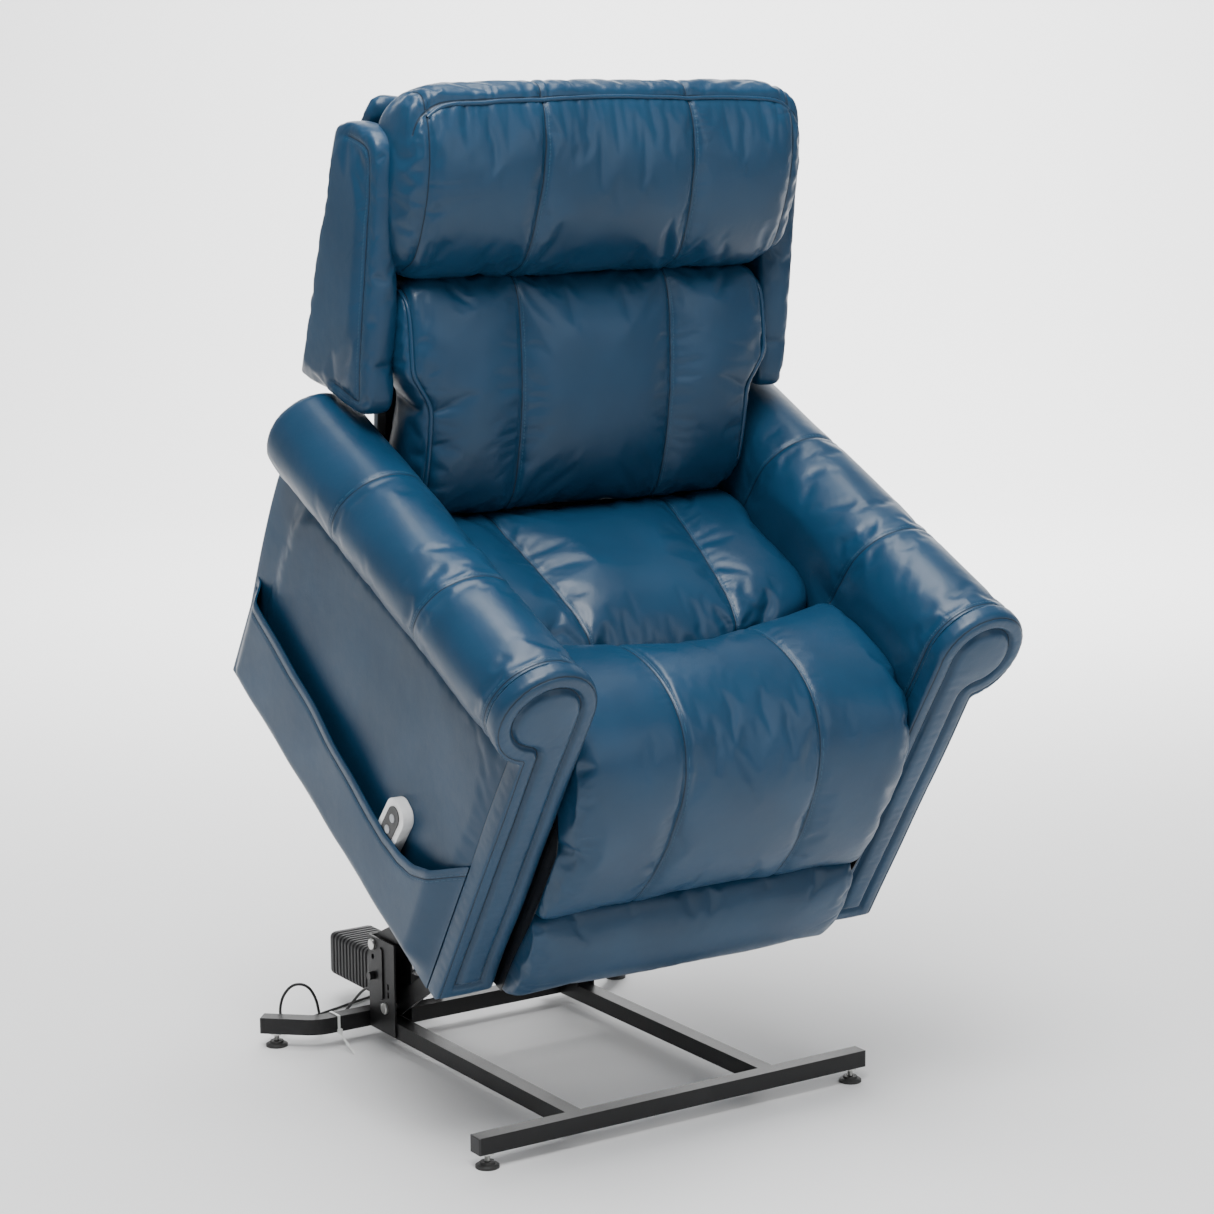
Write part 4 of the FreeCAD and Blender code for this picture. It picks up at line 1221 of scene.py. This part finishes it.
    def pocket(self) -> bpy.types.Object:
        """Side pocket: a bellied panel sewn at three edges, with a stitched hem.

        Returns:
            The left pocket.
        """
        hem = np.array([(14, 232), (52, 194), (92, 166), (130, 152), (175, 146), (260, 152), (380, 162),
                        (520, 172), (682, 182)], dtype=float)
        bpy.ops.object.select_all(action="DESELECT")
        bpy.ops.mesh.primitive_grid_add(x_subdivisions=150, y_subdivisions=46, size=2.0)
        piece = Bench.take("left_side_pocket")
        flat = Bench.points(piece)
        u, v = (flat[:, 0] + 1) / 2, (flat[:, 1] + 1) / 2
        y = 13 + u * 672
        edge = np.interp(y, hem[:, 0], hem[:, 1])
        z = 1.5 + v * (edge - 1.5)
        belly = smooth(y, 12, 60) * smooth(685 - y, 0, 55) * smooth(z, 0, 46)
        sag = 2.2 * np.sin(y / 41.0) * smooth(v, 0.5, 1.0) + 1.6 * np.sin(y / 23.0 + z / 30.0)
        x = 373.5 + 27.2 * belly + sag * belly * 0.55 - 1.5 * smooth(v, 0.97, 1.0) * belly
        Bench.lay(piece, np.column_stack([x, y, z]) * MM)
        Bench.finish_with(piece, "SOLIDIFY", thickness=0.0022, offset=-1.0)
        points = Bench.points(piece)
        where = points / MM
        top = np.interp(where[:, 1], hem[:, 0], hem[:, 1]) - where[:, 2]
        normals = Bench.normals(piece)
        hem_side = (top - self.hem_depth) * MM
        hem_gap = np.abs(hem_side)
        push = -0.0014 * np.exp(-(hem_gap / 0.0028) ** 2) + 0.0010 * (1 - smooth(top, 0, 15.0))
        push[normals[:, 0] < 0.2] = 0.0
        Bench.lay(piece, points + normals * push[:, None])
        Bench.mark_seams(piece, hem_gap, points[:, 1], np.ones(len(points)), hem_side)
        Bench.face_out(piece)
        Bench.dress(piece, LEATHER)
        Bench.soft_shade(piece, 60)
        Bench.place(piece, self.frames.seat)
        return piece

    def build(self) -> None:
        """Builds the left arm's pieces and their mirrored copies."""
        for pad in (self.shell(), self.front()):
            left = pad.build()
            right = Bench.mirrored(left, pad.name.replace("left", "right"))
            settle(left, pad)
            pad.stands_for = tuple(node.replace("left", "right") for node in pad.stands_for)
            settle(right, pad)
        left = self.pocket()
        right = Bench.mirrored(left, "right_side_pocket")
        for piece, node in ((left, "left_pocket"), (right, "right_pocket")):
            mount(piece, "seat_unit", "blue_leather", node)
            log.info("pocket %s", piece.name)


@dataclass
class SeatAndFootrest:
    """Seat cushion, chaise pad over the knee, footrest pad and side gussets."""

    frames: ChairFrame
    gusset_flat: tuple = (0.042, 0.352)

    @staticmethod
    def crease(p: Array) -> Array:
        """Bows the line between seat and chaise rearward at its ends."""
        out = p.copy()
        bow = 0.042 * np.clip(np.abs(p[:, 0]) / 0.283, 0, 1.1) ** 2
        near = 1.0 - smooth(np.abs(p[:, 1] - 0.2), 0.03, 0.15)
        out[:, 1] += bow * smooth(p[:, 2], 0.30, 0.38) * near
        return out

    def seat(self) -> Pad:
        """Three-panel seat cushion."""
        section = closed_curve([(207, 392), (218, 412), (256, 424), (330, 428), (420, 427), (480, 424),
                                (518, 408), (538, 380), (536, 324), (514, 299), (330, 298), (220, 298),
                                (200, 312), (196, 350)])
        top = lambda p: smooth(p[:, 2], 0.345, 0.375)
        spread = lambda p: 0.121 + 0.023 * np.clip((p[:, 1] - 0.193) / 0.207, -0.2, 1.3)
        seams = both_sides(lambda p, s: p[:, 0] - s * spread(p), lambda p: p[:, 1] + p[:, 2], top,
                           gathers=0.0008, one_row=1.0)
        return Pad("seat_cushion_pad", "seat_unit", ("seat_cushion",), self.frames.seat, section,
                   pillow_stations(278, 34, 0.84, 0.015), seams, form=self.crease, swell=0.022, fill=0.85,
                   seed=7.0, widest=0.2805)

    def chaise(self) -> Pad:
        """The pad that runs from the seat over the knee and down the footrest."""
        section = closed_curve([(198, 394), (186, 426), (158, 448), (112, 462), (62, 463), (14, 448),
                                (-24, 415), (-46, 366), (-56, 306), (-56, 244), (-48, 196), (-38, 166),
                                (-22, 157), (10, 158), (40, 164), (44, 220), (46, 300), (62, 340),
                                (100, 348), (160, 350), (190, 362)])

        def narrow(p: Array) -> Array:
            """Narrower down the footrest than between the arms."""
            out = self.crease(p)
            out[:, 0] *= 1.0 - 0.022 * (1.0 - smooth(p[:, 2], 0.24, 0.40))
            return out

        front = lambda p: np.maximum(smooth(p[:, 2], 0.37, 0.40), 1.0 - smooth(p[:, 1], -0.016, 0.0))
        run = lambda p: p[:, 2] - p[:, 1]
        seams = [*both_sides(lambda p, s: p[:, 0] - s * (0.119 - 0.008 * smooth(p[:, 2], 0.17, 0.44)),
                             run, front, gathers=0.0008, one_row=1.0),
                 *both_sides(lambda p, s: p[:, 0] * s - 0.270, run, front,
                             depth=0.0005, gathers=0.0016, reach=0.030, pitch=0.020, lined=False)]
        return Pad("chaise_pad", "footrest", ("leg_pad", "knee_pad"), self.frames.seat, section,
                   pillow_stations(275, 16, 0.93, 0.01), seams, form=narrow, swell=0.022, fill=0.85, seed=8.0,
                   widest=0.2765)

    def foot(self) -> Pad:
        """Lower footrest pad."""
        section = closed_curve([(-30, 151), (-46, 136), (-54, 96), (-52, 52), (-42, 18), (-24, 5),
                                (10, 4), (38, 8), (43, 40), (43, 120), (38, 150), (5, 153)])
        front = lambda p: 1.0 - smooth(p[:, 1], -0.03, -0.01)
        seams = both_sides(lambda p, s: p[:, 0] * s - 0.262, lambda p: p[:, 2], front, depth=0.0005,
                           gathers=0.0016, reach=0.03, pitch=0.020, lined=False)
        return Pad("footrest_lower_pad", "footrest", ("footrest_pad",), self.frames.seat, section,
                   pillow_stations(268, 14, 0.93, 0.012), seams, swell=0.016, fill=0.85, seed=9.0,
                   widest=0.2725)

    def gusset(self, side: float, name: str) -> bpy.types.Object:
        """Pleated cloth between the footrest and one arm.

        Args:
            side: 1 for the sitter's left.
            name: the piece's name.

        Returns:
            The gusset.
        """
        bpy.ops.object.select_all(action="DESELECT")
        bpy.ops.mesh.primitive_grid_add(x_subdivisions=40, y_subdivisions=110, size=2.0)
        piece = Bench.take(name)
        flat = Bench.points(piece)
        u, v = (flat[:, 0] + 1) / 2, (flat[:, 1] + 1) / 2
        z = 12 + v * 352
        x = 277.3 + 5.2 * u
        fold = wander(v * 17 + u * 2.0, u * 2.0, 21) + 0.3 * wander(v * 36 + u * 3.0, u * 3.0, 22)
        x += 0.8 * fold * np.sin(np.pi * u)
        y = -34 + 42 * u + 3.0 * fold * np.sin(np.pi * u) + 9 * smooth(v, 0.5, 0.1)
        y += 40 * smooth(v, 0.74, 1.0) * (1.0 - 0.6 * u)
        Bench.lay(piece, np.column_stack([x * side, y, z]) * MM)
        Bench.finish_with(piece, "SOLIDIFY", thickness=0.0012, offset=0.0)
        Bench.face_out(piece)
        Bench.dress(piece, GUSSET)
        Bench.soft_shade(piece, 60)
        Bench.place(piece, self.frames.seat)
        return piece

    def build(self) -> None:
        """Builds the seat, the chaise and the footrest's soft parts."""
        for pad in (self.seat(), self.chaise(), self.foot()):
            piece = pad.build()
            if pad.name == "chaise_pad":
                start = self.frames.seat @ Vector((0, 0.095, 0.430))
                end = self.frames.seat @ Vector((0, -0.020, 0.330))
                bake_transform(piece)
                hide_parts(*pad.stands_for)
            else:
                settle(piece, pad)
        for side, word in ((1.0, "left"), (-1.0, "right")):
            piece = self.gusset(side, f"{word}_gusset")
            start = self.frames.seat @ Vector((side * 0.2822, 0.02, 0.2))
            end = self.frames.seat @ Vector((side * 0.2776, 0.02, 0.2))
            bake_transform(piece)
            if side > 0:
                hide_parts("side_gussets")


# ------------------------------------------------------------------ drive and lead
@dataclass
class LiftMotor:
    """Ribbed motor housing of the lift actuator."""

    ribs: int = 11
    groove: float = 0.0016

    def build(self) -> None:
        """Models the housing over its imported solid."""
        low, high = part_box("lift_motor_housing")
        piece = Bench.block("lift_motor_case", low, high)
        cuts = np.linspace(low[1] + (high[1] - low[1]) * 0.34, high[1] - 0.018, self.ribs * 2)
        Bench.cut(cuts, 1)
        Bench.finish_with(piece, "BEVEL", width=0.010, segments=4, limit_method="ANGLE")
        mesh = piece.data
        for element in (*mesh.polygons, *mesh.edges, *mesh.vertices):
            element.select = False
        for polygon in mesh.polygons:
            slot = np.searchsorted(cuts, polygon.center.y)
            grooved = 0 < slot < len(cuts) and slot % 2 == 1
            polygon.select = bool(grooved and abs(polygon.normal.y) < 0.3)
        bpy.ops.object.mode_set(mode="EDIT")
        bpy.ops.mesh.select_mode(type="FACE")
        bpy.ops.mesh.extrude_region_shrink_fatten(TRANSFORM_OT_shrink_fatten={"value": -self.groove})
        bpy.ops.object.mode_set(mode="OBJECT")
        Bench.finish_with(piece, "BEVEL", width=0.0005, segments=2, limit_method="ANGLE")
        Bench.soft_shade(piece, 35)
        Bench.dress(piece, PLASTIC)
        mount(piece, "lift_motor", "black_plastic", "lift_motor_housing")
        log.info("motor case")


@dataclass
class PowerLead:
    """Low-voltage lead: strain relief, loop over the outrigger, coil and connector."""

    origin_y: float = 0.2795
    radius: float = 0.00225
    full_length: float = 1.8
    route: tuple = (
        (-166.0, 610.0, 76.0), (-165.0, 630.0, 72.0), (-167.0, 650.0, 57.0), (-173.0, 668.0, 36.0),
        (-186.0, 680.0, 14.0), (-207.0, 680.0, 5.5), (-226.0, 664.0, 7.0), (-238.0, 647.0, 20.0),
        (-246.0, 637.0, 43.0), (-252.0, 634.0, 68.0), (-264.0, 638.0, 91.0), (-285.0, 646.0, 95.0),
        (-299.0, 656.0, 76.0), (-299.0, 668.0, 48.0), (-288.0, 682.0, 21.0), (-270.0, 700.0, 6.0),
        (-243.0, 716.0, 3.4), (-212.0, 735.0, 3.0), (-170.0, 748.0, 3.2), (-118.0, 766.0, 3.0),
        (-66.0, 781.0, 3.2), (-16.0, 799.0, 3.0))
    coil_centre: tuple = (18.0, 829.0)
    coil_radius: float = 26.0
    turns: int = 7

    def coil(self) -> list:
        """The put-away turns, laid side by side in three layers.

        Returns:
            Points in millimetres.
        """
        rows = ((2.3, 2.5), (-2.3, 2.5), (-4.6, 6.6), (0.0, 6.6), (4.6, 6.6), (2.3, 10.7), (-2.3, 10.7))
        steps = 14
        out = []
        for number in range(self.turns * steps - 2):
            turn, part = divmod(number, steps)
            here, after = rows[turn], rows[min(turn + 1, len(rows) - 1)]
            ease = float(smooth(np.array([part / steps]), 0.55, 1.0)[0])
            radial = here[0] + (after[0] - here[0]) * ease + 0.35 * math.sin(number * 0.9)
            height = here[1] + (after[1] - here[1]) * ease
            angle = math.radians(-98) + 2 * math.pi * number / steps
            out.append((self.coil_centre[0] + (self.coil_radius + radial) * math.cos(angle),
                        self.coil_centre[1] + (self.coil_radius + radial) * math.sin(angle), height))
        return out

    def build(self) -> None:
        """Lays the lead as one spline with its fittings."""
        x, y = self.coil_centre
        plug_z = 18.6
        last = [(x - 24.0, y - self.coil_radius + 6.0, 13.6), (x - 17.0, y - self.coil_radius + 1.5, 17.2),
                (x - 11.0, y - self.coil_radius, plug_z)]
        points = [Vector((p[0] * MM, p[1] * MM - self.origin_y, p[2] * MM)) for p in
                  list(self.route) + self.coil() + last]
        curve = bpy.data.curves.new("power_lead_cord", "CURVE")
        curve.dimensions = "3D"
        curve.bevel_depth = self.radius
        curve.bevel_resolution = 4
        curve.resolution_u = 6
        curve.use_fill_caps = True
        spline = curve.splines.new("NURBS")
        spline.points.add(len(points) - 1)
        for target, point in zip(spline.points, points):
            target.co = (*point, 1.0)
        spline.order_u = 3
        spline.use_endpoint_u = True
        lead = bpy.data.objects.new("power_lead_cord", curve)
        bpy.context.scene.collection.objects.link(lead)
        curve.materials.append(CABLE.material())
        mount(lead, "base", "cable", "power_lead", "power_lead_coil")
        plug = self.connector()
        relief = self.strain_relief(points)
        log.info("lead %.2f m", self.full_length)

    def connector(self) -> bpy.types.Object:
        """Low-voltage connector with a grip and a collar.

        Returns:
            The connector.
        """
        low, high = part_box("lead_connector")
        piece = Bench.block("lead_plug", low, high)
        Bench.cut([low[0] + (high[0] - low[0]) * share for share in (0.30, 0.42, 0.54, 0.66, 0.78)], 0)
        where = Bench.points(piece)
        middle = (np.array(low) + np.array(high)) / 2
        share = (where[:, 0] - low[0]) / (high[0] - low[0])
        waist = np.where((share > 0.35) & (share < 0.5), 0.84, 1.0) * np.where(share < 0.05, 0.72, 1.0)
        waist = np.where((share > 0.6) & (share < 0.7), 0.84, waist)
        where[:, 1:] = middle[1:] + (where[:, 1:] - middle[1:]) * waist[:, None]
        Bench.lay(piece, where)
        Bench.finish_with(piece, "BEVEL", width=0.0016, segments=3, limit_method="ANGLE")
        Bench.soft_shade(piece, 40)
        Bench.dress(piece, PLASTIC)
        mount(piece, "base", "black_plastic", "lead_connector")
        return piece

    def strain_relief(self, points: Sequence[Vector]) -> bpy.types.Object:
        """Tapered ribbed sleeve where the lead leaves the upright.

        Args:
            points: the lead's route, which starts at the sleeve's tip.

        Returns:
            The sleeve.
        """
        low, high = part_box("lead_gland")
        root = Vector(((low[0] + high[0]) / 2, low[1], (low[2] + high[2]) / 2))
        tip = points[0]
        length = (tip - root).length
        bpy.ops.object.select_all(action="DESELECT")
        bpy.ops.mesh.primitive_cylinder_add(vertices=28, radius=1.0, depth=1.0, end_fill_type="NGON")
        piece = Bench.take("lead_relief")
        Bench.cut(np.linspace(-0.46, 0.46, 22), 2)
        where = Bench.points(piece)
        t = where[:, 2] + 0.5
        ring = np.round((t - 0.04) * 24).astype(int) % 2
        radius = (0.0064 - 0.0033 * t) * (1.0 - 0.16 * ring * (t > 0.3))
        where[:, :2] *= radius[:, None]
        where[:, 2] = t * length
        Bench.lay(piece, where)
        aim = (tip - root).to_track_quat("Z", "Y").to_matrix().to_4x4()
        Bench.place(piece, Matrix.Translation(root) @ aim)
        Bench.soft_shade(piece, 30)
        Bench.dress(piece, CABLE)
        mount(piece, "base", "black_plastic", "lead_gland")
        return piece


# ------------------------------------------------------------------ carried-over nodes
FINISH_OF_NODE: dict = {
    STEEL: ("front_crossbar", "rear_crossbar", "side_rails", "uprights", "outriggers", "lift_motor_bracket",
            "upper_links", "lower_links", "seat_rails", "seat_posts", "cross_tubes", "drive_brackets",
            "knee_brackets", "back_brackets", "footrest_arms", "back_hinge_arms"),
    ZINC: ("base_pivot_bolts", "foot_nut_plates"),
    ROD: ("lift_rod", "recline_rod", "lift_actuator_tube", "recline_actuator_tube"),
    FOOT: ("left_front_foot", "right_front_foot", "left_rear_foot", "right_rear_foot"),
    PLASTIC: ("tube_end_caps", "recline_motor_housing", "control_box"),
    KNOB: ("upright_knobs", "handset_keypad"),
    SHELL: ("handset_shell",),
    KEYS: ("raise_button", "lower_button"),
    NYLON: ("cable_tie",),
    PLYWOOD: ("seat_deck", "footrest_board", "arm_frames"),
    # Painted shade: the back frame is dressed in black cloth so it reads as the shadowed gap behind the pads.
    SHADE_GAP_CLOTH: ("back_frame",),
}


def dress_nodes() -> None:
    """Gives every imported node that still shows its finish."""
    for finish, names in FINISH_OF_NODE.items():
        for name in names:
            node = frame["nodes"][name]
            node.data.materials.clear()
            node.data.materials.append(finish.material())


# ------------------------------------------------------------------ studio
@dataclass
class Studio:
    """Camera, lights and a plain pale floor."""

    eye: tuple = (-2.2816, -3.5870, 1.4566)
    yaw: float = 33.171
    pitch: float = 9.941
    roll: float = -0.0077
    lens: float = 87.24
    floor_size: float = 18.0

    def camera(self) -> None:
        """Sets the camera at its place, looking at the chair."""
        yaw, pitch = math.radians(self.yaw), math.radians(self.pitch)
        ahead = Vector((math.sin(yaw) * math.cos(pitch), math.cos(yaw) * math.cos(pitch), -math.sin(pitch)))
        right = ahead.cross(Vector((0, 0, 1))).normalized()
        up = right.cross(ahead)
        c, s = math.cos(self.roll), math.sin(self.roll)
        right, up = right * c + up * s, up * c - right * s
        turn = Matrix((right, up, -ahead)).transposed().to_4x4()
        bpy.ops.object.camera_add()
        camera = bpy.context.active_object
        camera.matrix_world = Matrix.Translation(Vector(self.eye)) @ turn
        camera.data.lens = self.lens
        camera.data.sensor_width = 36.0
        camera.data.clip_end = 60.0
        bpy.context.scene.camera = camera

    @staticmethod
    def light(name: str, place: tuple, size: float, power: float, target: tuple = (0, 0, 0.7)) -> None:
        """Adds one soft square light.

        Args:
            name: the light's name.
            place: where it stands.
            size: its side, in metres.
            power: its power, in watts.
            target: where it aims.
        """
        bpy.ops.object.light_add(type="AREA", location=place)
        lamp = bpy.context.active_object
        lamp.name = name
        lamp.data.shape = "SQUARE"
        lamp.data.size = size
        lamp.data.energy = power
        lamp.rotation_euler = (Vector(target) - Vector(place)).to_track_quat("-Z", "Y").to_euler()

    def backdrop(self) -> None:
        """A pale floor that sweeps up behind the chair."""
        bpy.ops.object.select_all(action="DESELECT")
        bpy.ops.mesh.primitive_plane_add(size=self.floor_size)
        floor = Bench.take("studio_floor")
        bpy.ops.object.mode_set(mode="EDIT")
        bpy.ops.mesh.select_all(action="DESELECT")
        bpy.ops.object.mode_set(mode="OBJECT")
        corners, rear = floor.data.vertices, self.floor_size / 2 - 0.1
        for edge in floor.data.edges:
            edge.select = all(corners[i].co.y > rear for i in edge.vertices)
        bpy.ops.object.mode_set(mode="EDIT")
        bpy.ops.mesh.select_mode(type="EDGE")
        bpy.ops.mesh.extrude_region_move(TRANSFORM_OT_translate={"value": (0, 0, self.floor_size / 2)})
        bpy.ops.mesh.select_mode(type="EDGE")
        bpy.ops.object.mode_set(mode="OBJECT")
        corners = floor.data.vertices
        for edge in floor.data.edges:
            edge.select = all(corners[i].co.y > rear and corners[i].co.z < 0.1 for i in edge.vertices)
        bpy.ops.object.mode_set(mode="EDIT")
        bpy.ops.mesh.bevel(offset=3.0, segments=24, affect="EDGES")
        bpy.ops.object.mode_set(mode="OBJECT")
        Bench.place(floor, Matrix.Rotation(-math.radians(self.yaw), 4, "Z"))
        Bench.soft_shade(floor, 60)
        recipe = Recipe("pale_floor")
        tone = recipe.speckle(2.0, 2.0)
        recipe.shade(Base_Color=recipe.blend(tone, (0.86, 0.86, 0.86), (0.88, 0.88, 0.88)),
                     Roughness=0.9)
        floor.data.materials.append(recipe.material)

    def build(self) -> None:
        """Sets out the studio."""
        self.camera()
        self.backdrop()
        self.light("key_light", (-1.3, -1.5, 4.2), 2.0, 210.0)
        self.light("fill_light", (1.2, -4.2, 2.2), 2.6, 34.0)
        self.light("top_light", (0.1, 0.2, 4.6), 2.2, 130.0)
        self.light("backdrop_light", (3.0, 3.0, 4.6), 4.0, 1100.0, (4.6, 7.4, 0.6))
        world = bpy.data.worlds.new("studio_air")
        world.use_nodes = True
        world.node_tree.nodes["Background"].inputs[0].default_value = (0.93, 0.95, 0.97, 1.0)
        world.node_tree.nodes["Background"].inputs[1].default_value = 0.42
        bpy.context.scene.world = world


def main() -> None:
    """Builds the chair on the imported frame."""
    logging.basicConfig(level=logging.INFO, format="%(name)s %(message)s")
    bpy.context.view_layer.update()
    Studio().build()
    PowerLead().build()
    frames = ChairFrame()
    Backrest(frames).build()
    Arms(frames).build()
    SeatAndFootrest(frames).build()
    LiftMotor().build()
    dress_nodes()


if __name__ == "__main__":
    main()
